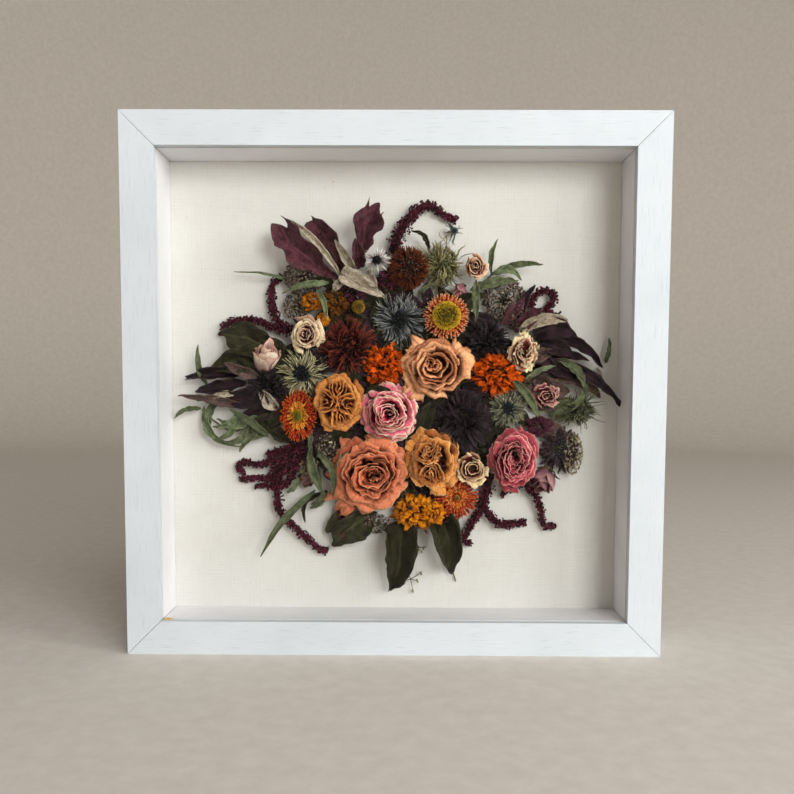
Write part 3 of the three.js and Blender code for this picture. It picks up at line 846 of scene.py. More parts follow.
def build_seed_spray(name, place, count, seed_size, skin):
    """A loose cluster of small husks, some of them on threads of a stalk."""
    rng, piece, head = seed_for(name), Growth(), Head(name, *place)
    spots, order = dome_points(rng, count, 96, 0.92, stray=0.14)
    centres = head.place(spots * rng.uniform(0.72, 1.08, (count, 1)))
    centres[:, 2] = np.maximum(centres[:, 2], 1.2)
    foot = np.array([*head.centre, 1.0])
    for centre in centres[:: max(1, count // 36)]:
        middle = (centre + foot) / 2 + rng.normal(0, 0.8, 3)
        piece.tube([foot, middle, centre], [0.5, 0.35, 0.25], 0.6, 1, 5)
    size = seed_size * rng.uniform(0.7, 1.25, (count, 1)) * rng.uniform(0.8, 1.2, (count, 3))
    piece.knobs(centres, size, rng.uniform(0, 1, count), order, 0, rng.uniform(0, 1, count))
    tips, tone, ring = ray_petals(rng, count, (0, 96), 0.16, 0.10, tilt=0, bend=40, inner=0.88,
                                  stray=0.16, rows=3)
    piece.sheets(head.place(tips), BRACT, tone, ring)
    skins = [shared(*skin), stalk_skin()]
    return finish_piece(piece, f"{name}_seeds", skins, name)


# ---- leaves ------------------------------------------------------------------------------


def add_leaf(piece, rng, x0, y0, x1, y1, width, rise, level, bow, curl, skin=0, fold=0.35,
             twist=0.0, wave=0.05, point=0.8, arch=3.0, blunt=0.0, torn=0.0, rows=16, cols=7):
    """One leaf from x0, y0 at level to x1, y1, rise higher. bow bends it sideways, fold creases
    it along the midrib, curl rolls its sides up, and arch lifts its middle off the cloth, all
    in millimetres and radians. blunt is how wide its tip stays, and torn how ragged it is."""
    base, tip = np.array([x0, y0, level], float), np.array([x1, y1, level + rise], float)
    along = tip - base
    sideways = np.array([-along[1], along[0], 0]) / np.linalg.norm(along[:2])
    v = np.linspace(0, 1, rows)[:, None]
    u = np.linspace(-1, 1, cols)
    middle = base + along * v + sideways * (bow * np.sin(np.pi * v))
    middle = middle + [0, 0, arch] * np.sin(np.pi * v)
    run = unit(np.gradient(middle, axis=0), 0)
    side = unit(np.cross([0, 0, 1.0], run), 0)
    up, turn = np.cross(run, side), twist * v[:, 0]
    side, up = swung(side, up, turn), swung(up, -side, turn)
    profile = np.sin(np.pi * np.clip(0.03 + 0.955 * v**point, 0, 1)) ** 0.85
    profile = np.maximum(profile, blunt * np.clip((v - 0.5) / 0.3, 0, 1))
    half = width / 2 * profile
    curl = max(curl, 1e-3)
    flat = np.sin(u * curl) / curl * half
    lift = (1 - np.cos(u * curl)) / curl * half + np.abs(u) * half * math.sin(fold)
    wavy = np.sin(v * rng.uniform(9, 15) + rng.uniform(0, 6) + np.sign(u) * 1.1)
    ruffle = wave * width * u**2 * wavy
    edge = 1 + 0.05 * np.sin(v * rng.uniform(18, 30) + np.sign(u) * 2) * np.abs(u) ** 3
    bites = np.sin(v * rng.uniform(7, 11) + np.sign(u) * 1.3 + rng.uniform(0, 3))
    edge = edge + 1.3 * torn * (np.abs(bites) - 0.6) * np.abs(u) ** 3
    lobes = np.abs(np.sin(rng.uniform(1.9, 2.6) * u + rng.uniform(0.9, 1.9))) - 0.5
    notch = 1.6 * torn * width * lobes * np.clip((v - 0.7) / 0.3, 0, 1) ** 1.5
    grid = middle[:, None] + side[:, None] * (flat * edge)[..., None]
    grid = grid + up[:, None] * (lift + ruffle)[..., None] + run[:, None] * notch[..., None]
    grid = crumple(crumple(grid, rng, 0.035 * width, 1.1 * width), rng, 0.25, 5.0)
    grid[..., 2] = np.clip(grid[..., 2], 0.5, ROOM - 1.2)
    piece.sheets(grid[None], LEAF, rng.uniform(0, 1), 0.5, skin)


def add_twig(piece, points, radius, skin, level):
    """A thin twig lying level above the cloth, through the given points."""
    path = smooth_path([(x, y, level) for x, y in points], 3.0)
    piece.tube(path, np.linspace(radius, radius * 0.6, len(path)), 0.5, skin)


def build_tassels(name, *ropes):
    """The ropes of one amaranth stem."""
    rng, piece = seed_for(name), Growth()
    for rope in ropes:
        add_tassel(piece, rng, *rope)
    skin = shared(dry_skin, "dried amaranth tassel, wine red", "#24080f", "#4c1526", "#742c40",
                  0.75)
    return finish_piece(piece, f"{name}_tassels", [skin], name)


def build_leaves(name, slot, kinds, twigs, *leaves):
    """One cut spray of leaves."""
    rng, piece = seed_for(name), Growth()
    for row in leaves:
        shape = row[10] if len(row) > 10 else {}
        add_leaf(piece, rng, *row[:10], **shape)
    for points in twigs:
        add_twig(piece, points, 0.9, len(kinds), 2.2)
    skins = [leaf(kind) for kind in kinds] + [stalk_skin()]
    return finish_piece(piece, f"{name}_blades", skins, name)


def build_all(build, table):
    """Every piece of a table."""
    for name, row in table.items():
        build(name, *row)
    return {"FINISHED"}


# ---- the bouquet -------------------------------------------------------------------------

# Rose varieties: slot, size against the node's, colours (throat, which is partly painted shade,
# body, rim, outer), and the rings of petals, open or folded, that make each one up.
ROSES = {
    "rose_peach": ("peach_petals", (0.91, 0.83), ("#4c140a", "#fdab7c", "#cc8650", "#fcba88"), (
        dict(count=18, first=0.17, ruffle=0.5, lip=1.5, wrap=1.1, eye=(-0.22, 0.13)),
        dict(count=9, first=0.02, last=0.17, wrap=0.6, ruffle=0.8, slack=0.5, eye=(-0.22, 0.13)),
        dict(aim=(0.5, 2.3, -2.2, -2.7), first=0.96, last=1.06, pinch=2.2, wrap=0.6),
    )),
    "rose_coral": ("coral_petals", (0.99, 0.94), ("#3e0f06", "#e67452", "#dea174", "#ea8862"), (
        dict(count=29, first=0.18, ruffle=0.8, pinch=1.4, lip=1.1, eye=(0.08, 0.0)),
        dict(count=13, first=0.02, last=0.19, wrap=0.55, ruffle=1.3, slack=0.7, eye=(0.08, 0.0)),
        dict(aim=(2.1, -2.5, -2.2, 0.6), first=0.98, last=1.08, pinch=2.6, wrap=0.5),
    )),
    "rose_pink_cream": ("pink_petals", 1.0, ("#6a0c26", "#ec4c70", "#fae8ca", "#f07a8e"), (
        dict(count=16, first=0.55, ruffle=0.8, lip=1.3),
        dict(count=24, first=0.05, last=0.6, open_share=0.25, wrap=0.8, ruffle=0.9, slack=0.7,
             cols=17, lip=1.5),
    )),
    "rose_mustard": ("mustard_petals", 0.95, ("#561a08", "#f8ae58", "#c8784a", "#e69850"), (
        dict(count=12, first=0.74, ruffle=0.8, lip=0.9),
        dict(quarters=4, nested=3, width=0.5, reach=0.8, near=-0.08, turn=1.7),
        dict(count=8, first=0.02, last=0.3, wrap=0.4, ruffle=2.0, slack=0.8, cols=11),
    )),
    "rose_gold": ("mustard_petals", 0.92, ("#481808", "#e88a44", "#f6c484", "#e89c4e"), (
        dict(count=17, first=0.55, ruffle=1.2, lip=1.4),
        dict(quarters=2, nested=4, width=0.55, reach=0.6, near=0.0, turn=1.75),
        dict(count=12, first=0.06, last=0.3, wrap=0.5, ruffle=2.0, slack=0.6, eye=(-0.1, 0.4)),
    )),
    "rose_magenta": ("magenta_petals", (0.84, 0.96), ("#4c0818", "#c93a58", "#f6c0b0", "#d25a6a"), (
        dict(count=18, first=0.5, ruffle=0.9, wrap=0.95),
        dict(count=24, first=0.05, last=0.55, open_share=0.2, wrap=0.55, ruffle=1.4, slack=0.7,
             cols=17, lip=1.3),
    )),
    "spray_rose_cream": ("cream_petals", (0.9, 0.95), ("#5a1828", "#ca8078", "#fcecc8",
                                                       "#fae4ba"), (
        dict(count=11, first=0.4, ruffle=0.6, lip=1.5, wrap=1.1, cols=17),
        dict(count=10, first=0.04, last=0.36, wrap=0.6, ruffle=1.2, slack=0.6, cols=13),
    )),
    "spray_rose_small": ("cream_petals", 1.0, ("#6e2830", "#e0a880", "#f6dfb4", "#f3d6a6"), (
        dict(count=10, first=0.2, last=0.85, ruffle=0.6, lip=1.4, slack=0.4, cols=17),
        dict(aim=(2.0, -1.2, -0.3, 3.6), first=0.85, last=1.0, pinch=2.0, wrap=0.8, open_share=0.5),
    )),
    "spray_rose_faded": ("cream_petals", 0.92, ("#8a4038", "#e29a90", "#f8f2c8", "#f8e6b4"), (
        dict(count=11, first=0.5, ruffle=1.7, lip=1.0, cols=19),
        dict(count=14, first=0.05, last=0.5, wrap=0.45, ruffle=2.4, slack=0.9, cols=13),
    )),
    "rosebud_right": ("pink_petals", 1.0, ("#661a2a", "#bd6b71", "#f3d4b4", "#d08e8e"), (
        dict(count=15, first=0.06, ruffle=1.4, open_share=0.6, wrap=0.7, slack=0.4, cols=17),
    )),
    "rosebud_top": ("peach_petals", 0.9, ("#83362f", "#eea488", "#f6ebc0", "#f6ccac"), (
        dict(count=12, first=0.06, ruffle=0.9, open_share=0.6, cols=17),
    )),
}

# Closed buds: place, petals, lean, slot and colours (throat, partly painted shade, body, rim,
# outer).
BUDS = {
    "rosebud_blush": (((-103, 13), (12.5, 12.5), 33.0, 26.0), 12, (64, 72), "pink_petals",
                      ("#8a414a", "#f8c2bc", "#bd7662", "#fae6d0")),
    "rosebud_low": (((120, -63), (12.5, 12.5), 29.0, 22.0), 9, (66, -118), "pink_petals",
                    ("#4c1c2c", "#9a5c6c", "#b08478", "#b07f86")),
    "rosebud_top_petal": (((52, 80), (6, 6), 20.0, 13.0), 6, (70, -115), "peach_petals",
                          ("#6b2c38", "#b9727c", "#d0a08c", "#c48890")),
    "rosebud_low_left": (((-70, -66), (7.5, 7.5), 18.0, 14.0), 8, (72, -75), "pink_petals",
                         ("#4c2a30", "#7d5450", "#5c3d38", "#8a655c")),
}

# Strawflowers: depth, disc, spread, and the colours of inner bracts, outer bracts and disc.
STRAWFLOWERS = {
    "strawflower_top": (
        0.55, 0.60, 0.8, ("#3e0a03", "#e8682a", "#ffc480", "#d04818"),
        ("#4a0c04", "#ea6a2a", "#ffd6a0", "#d8481a"), ("#7e6c18", "#c09a22", "#dcb43a"),
    ),
    "strawflower_left": (
        0.6, 0.28, 1.1, ("#8a2404", "#f28c22", "#ffdc62", "#e87018"),
        ("#5a0a03", "#d03a12", "#f4802c", "#b0220e"), ("#5c6410", "#a8971c", "#d0a62a"),
    ),
    "strawflower_low": (
        0.6, 0.16, 1.2, ("#6e1403", "#ee6e24", "#ffcc66", "#dc4e18"),
        ("#520a03", "#d23c14", "#f69048", "#b4260f"), ("#4a3a12", "#c9801e", "#e0a83a"),
    ),
}

# Swell and share of most heads that have a node.
USUAL = (1.04, 0.7)

# Heads of narrow petals: place, slot, skin, florets (count, spread, radius, size and perhaps a
# skin of their own) and layers of petals.
BRISTLES = {
    "strawflower_brown": (
        (1.04, 0.6), "brown_bracts",
        (dry_skin, "strawflower bristle, brown", "#190906", "#4f210f", "#843f1c", 0.5),
        (160, 96, 0.68, 1.5, dry_skin, "brown disc", "#1a0d08", "#2c160d", "#3a1d10"),
        [dict(count=480, polar=(0, 98), length=0.34, width=0.05, tilt=2, bend=26, inner=0.66,
              rows=4, stray=0.13)],
    ),
}

RUFFLED = dict(point=1.8, rows=5, cols=6)
RUFFLES = [
    dict(RUFFLED, count=60, polar=(46, 97), length=0.50, width=0.24, tilt=12, bend=26,
         inner=0.46, cup=0.2, frill=0.08, stray=0.19, crumple=0.05),
    dict(RUFFLED, count=100, polar=(0, 76), length=0.36, width=0.20, tilt=4, bend=50,
         inner=0.56, frill=0.09, stray=0.22, crumple=0.06),
    dict(RUFFLED, count=34, polar=(0, 44), length=0.44, width=0.20, tilt=0, bend=8,
         inner=0.48, frill=0.09, stray=0.2, crumple=0.06),
]
SPARSE = [dict(layer, count=layer["count"] // 2, width=1.3 * layer["width"], cols=5)
          for layer in RUFFLES]
# Marigold petals: throat, which is partly painted shade for the recesses, body, rim, outer,
# roughness, veins, blotches and how deep the throat runs.
ORANGE = (petal_skin, "air-dried marigold petal, orange", "#5e1803", "#ea5f07", "#e24a05",
          "#f06c0c", 0.55, 0.4, "#a83606", 0.3)
AMBER = (petal_skin, "air-dried marigold petal, amber", "#7c2f04", "#f09010", "#e8740c",
         "#f4a41a", 0.55, 0.4, "#c05e0c", 0.3)
RUST = (petal_skin, "air-dried marigold petal, rust", "#2e1508", "#72430f", "#4a2a0c",
        "#7c4c14", 0.55, 0.25, "#2c180a", 0.15)
OCHRE = (petal_skin, "air-dried marigold petal, ochre", "#5a2a06", "#cc7612", "#a4560c",
         "#d48418", 0.55, 0.3, "#6a3a0c", 0.2)
BUTTON = (dry_skin, "button flower floret, mustard", "#4a3410", "#8a6a1c", "#b8922c")
MARIGOLDS = {
    name: (place, "marigold_petals", skin, (), layers)
    for name, place, skin, layers in (
        ("marigold_centre", USUAL, ORANGE, RUFFLES),
        ("marigold_right", USUAL, ORANGE, RUFFLES),
        ("marigold_low", USUAL, AMBER, RUFFLES),
        ("marigold_low_side", ((31, -96), (10, 10), 22.0, 7.0), AMBER, SPARSE),
        ("marigold_upper", ((-64, 66), (10, 8), 16.0, 5.6), OCHRE, SPARSE),
        ("marigold_upper_rust", ((-47, 66), (13, 11), 17.0, 7.7), RUST, SPARSE),
        ("marigold_upper_bud", ((-55, 52), (6, 6), 18.0, 4.8), AMBER, SPARSE),
    )
}
MARIGOLDS["button_flower"] = (
    ((-28, 62), (5.5, 5.5), 22.0, 6.0), "marigold_petals", BUTTON, (120, 95, 0.8, 0.8),
    [dict(count=110, polar=(0, 95), length=0.22, width=0.16, inner=0.78, rows=3)],
)

SPIKES = [dict(count=340, polar=(0, 98), length=0.46, width=0.055, tilt=0, inner=0.54, rows=5,
               cols=2, stray=0.2, crumple=0.06)]
THISTLE = (dry_skin, "dark bract, dried nearly black", "#0d0a0c", "#1e181b", "#4c4247", 0.55)
WINE = (dry_skin, "wine-dark floret, dried", "#1a0a10", "#43162a", "#6e2f44", 0.65)
LOOSE = [dict(count=90, polar=(0, 95), length=0.45, width=0.2, bend=36, inner=0.45, cup=0.4,
              rows=5, cols=5, frill=0.05, stray=0.2, crumple=0.06)]
DARK_HEADS = {
    "dahlia_dark": (
        (1.04, 0.62), "dark_petals",
        (dry_skin, "dahlia petal, dried nearly black", "#100b0e", "#241a20", "#44353b", 0.6),
        (60, 60, 0.5, 1.6),
        [dict(count=380, polar=(0, 96), length=0.46, width=0.075, tilt=4, bend=26, inner=0.54,
              cup=0.7, rows=5, stray=0.16, crumple=0.06)],
    ),
    "chrysanthemum_russet": (
        (0.95, 0.65), "russet_petals",
        (dry_skin, "chrysanthemum petal, dried russet", "#1d0907", "#471813", "#8f3c2d", 0.6),
        (80, 95, 0.5, 2.0),
        [dict(count=300, polar=(0, 97), length=0.46, width=0.08, tilt=30, bend=-44, inner=0.54,
              cup=0.8, rows=5, stray=0.12, crumple=0.05)],
    ),
    "thistle_dark_top": (USUAL, "dark_petals", THISTLE, (120, 95, 0.5, 1.8), SPIKES),
    "thistle_dark_left": (USUAL, "dark_petals", THISTLE, (120, 95, 0.5, 1.8), SPIKES),
    "bloom_dark_right": (
        (1.25, 0.6), "dark_petals",
        (dry_skin, "plum petal, dried", "#10070b", "#2a141d", "#4c2f38", 0.6),
        (90, 60, 0.52, 1.1, dry_skin, "ash-blue floret", "#121417", "#393b40", "#626265"),
        [dict(count=90, polar=(20, 95), length=0.5, width=0.17, inner=0.42, cup=0.5, cols=5,
              frill=0.03, stray=0.14, crumple=0.04)],
    ),
    **{
        f"bloom_wine_{side}": (place, "dark_petals", WINE, (), LOOSE)
        for side, *place in (
            ("right", (112, -29), (12, 10), 17.0, 7.0),
            ("upper", (-33, 74), (14, 12), 17.0, 8.4),
            ("top", (-4, 84), (14, 11), 15.0, 7.7),
            ("low", (44, -99), (10, 8), 13.0, 5.6),
            ("left", (-88, -14), (13, 11), 13.0, 7.7),
            ("gap", (12, -10), (13, 13), 17.0, 9.1),
        )
    },
}

BLACK = (dry_skin, "scabious centre, black", "#0b0e12", "#141a20", "#222a30", 0.5)
RAYS = dict(rows=7, cols=2, stray=0.2, even=False, thickness=0.4, crumple=0.05)
STARS = [
    dict(RAYS, count=150, polar=(26, 62), length=0.40, width=0.036, tilt=30, bend=34, inner=0.44),
    dict(RAYS, count=190, polar=(54, 99), length=0.46, width=0.040, tilt=8, inner=0.52),
]
FRONDS = [
    dict(count=300, polar=(0, 98), length=0.42, width=0.045, bend=80, inner=0.56, cols=2,
         stray=0.25, crumple=0.08, thickness=0.3),
    dict(count=46, polar=(70, 98), length=0.95, width=0.04, bend=-50, inner=0.5, rows=9,
         stray=0.25, crumple=0.08),
]
SEED_HEADS = {
    **{
        f"scabious_{side}": (
            (1.04, 0.62), "scabious_stars", (dry_skin, f"scabious bract, scabious_{side}", *tones),
            (110, 32, 0.55, 0.8, *BLACK), STARS,
        )
        for side, *tones in (
            ("blue", "#181c1e", "#5d6468", "#c4c4c1"),
            ("left", "#2a2f26", "#9c9470", "#f3ecbe"),
            ("right", "#1b211b", "#6c725b", "#e1dab8"),
        )
    },
    "nigella_top": (
        USUAL, "nigella_husk",
        (dry_skin, "nigella bract, olive", "#353522", "#837d53", "#c5b988"),
        (120, 95, 0.55, 1.2), FRONDS,
    ),
    "nigella_right": (
        USUAL, "nigella_husk",
        (dry_skin, "nigella bract, grey green", "#212418", "#54583e", "#a4a471"),
        (120, 95, 0.55, 1.2), FRONDS,
    ),
    "aster_white": (
        ((-14, 97), (11, 10), 23.0, 6.0), "scabious_stars",
        (dry_skin, "aster ray, white-tipped", "#30242a", "#d3c9c4", "#fdfbf6", 0.6),
        (50, 60, 0.34, 0.7, *BLACK),
        [dict(count=34, polar=(40, 95), length=0.7, width=0.11, bend=20, stray=0.12)],
    ),
    "star_seed": (
        ((45, 121), (9, 8), 12.0, 5.0), "nigella_husk",
        (dry_skin, "star seed, silver grey", "#1f2322", "#565c58", "#a2a69e", 0.55),
        (30, 80, 0.3, 0.9),
        [dict(count=14, polar=(60, 100), length=1.0, width=0.13, inner=0.1, rows=8, stray=0.3,
              crumple=0.1)],
    ),
    "seed_head_left": (
        ((-112, -35), (7, 7), 14.0, 7.0), "nigella_husk",
        (dry_skin, "small seed head, sage", "#3a3f2c", "#7b7f5c", "#b8b890", 0.8),
        (70, 95, 0.62, 0.8),
        [dict(count=130, polar=(0, 96), length=0.4, width=0.07, inner=0.6, rows=4)],
    ),
}

# Clusters of husks: place, how many, their size in millimetres, and skin.
BROWN_HUSK = (dry_skin, "small husk, brown grey", "#2c2420", "#6e5c50", "#b8a694", 0.8)
CREAM_HUSK = (dry_skin, "small husk, cream", "#4a4030", "#9c8f70", "#d8cda6", 0.8)
SEED_SPRAYS = {
    "seed_spray_top_left": (USUAL, 230, 0.95, BROWN_HUSK),
    "seed_spray_top_right": (USUAL, 230, 0.95, BROWN_HUSK),
    "seed_spray_upper": (((-76, 64), (11, 12), 12.0, 7.7), 130, 0.8, BROWN_HUSK),
    "seed_spray_right": (((139, -50), (8, 17), 14.0, 5.6), 120, 0.8, CREAM_HUSK),
    "seed_spray_low_left": (((-53, -46), (9, 11), 14.0, 6.3), 90, 0.8, CREAM_HUSK),
    "seed_spray_lower": (((-68, -60), (8, 10), 12.0, 5.6), 80, 0.8, CREAM_HUSK),
    "seed_spray_bottom": (((-15, -107), (13, 8), 8.0, 5.6), 80, 0.8, BROWN_HUSK),
    "seed_spray_inner_right": (((96, 56), (12, 12), 15.0, 8.4), 120, 0.8, BROWN_HUSK),
}

# Routes of the tassels from the bouquet out to each tip, with their first and last radius.
TASSELS = {
    "amaranth_top": (
        (5.0, 2.3, [(0, 104), (0, 112), (7, 126), (16, 136), (25, 141), (34, 136), (41, 131),
                    (47, 130)]),
    ),
    "amaranth_left": (
        (2.6, 2.0, [(-82, 44), (-89, 45), (-97, 48), (-107, 52), (-116, 53), (-126, 52),
                    (-133, 48), (-136, 41)]),
        (3.0, 2.2, [(-80, 46), (-86, 48), (-93, 56), (-96, 68), (-95, 80), (-88, 87)]),
    ),
    "amaranth_low_left": (
        (3.8, 1.8, [(-68, -42), (-84, -50), (-100, -59), (-112, -59), (-119, -58), (-123, -63),
                    (-118, -68)]),
        (3.2, 1.8, [(-70, -48), (-84, -64), (-97, -70), (-112, -71), (-122, -72)]),
        (2.8, 1.7, [(-74, -56), (-84, -74), (-93, -78), (-102, -77), (-110, -78)]),
        (3.8, 2.2, [(-76, -50), (-88, -64), (-92, -75), (-92, -86), (-90, -98), (-81, -107),
                    (-73, -115), (-65, -122), (-59, -128), (-53, -129)]),
        (4.2, 3.0, [(-66, -52), (-76, -56), (-86, -58), (-96, -66)]),
        (3.6, 2.8, [(-78, -46), (-90, -50), (-100, -52)]),
    ),
    "amaranth_low_right": (
        (4.4, 2.0, [(72, -66), (73, -76), (71, -85), (66, -99), (59, -109), (56, -116),
                    (56, -121), (61, -122)]),
        (3.0, 2.4, [(66, -88), (71, -94), (78, -102), (86, -107), (96, -106), (104, -105)]),
        (2.6, 2.0, [(100, -72), (105, -78), (112, -85), (115, -94), (117, -104), (121, -109),
                    (127, -107)]),
        (2.6, 1.8, [(96, -74), (91, -78), (84, -84)]),
    ),
    "amaranth_loop_right": (
        (2.6, 2.0, [(98, 56), (104, 62), (106, 68), (110, 74), (117, 76), (123, 73), (122, 67),
                    (117, 62), (120, 58), (128, 57)]),
    ),
    "amaranth_bottom": (
        (2.4, 1.8, [(-41, -98), (-41, -112), (-36, -119), (-30, -116)]),
    ),
}

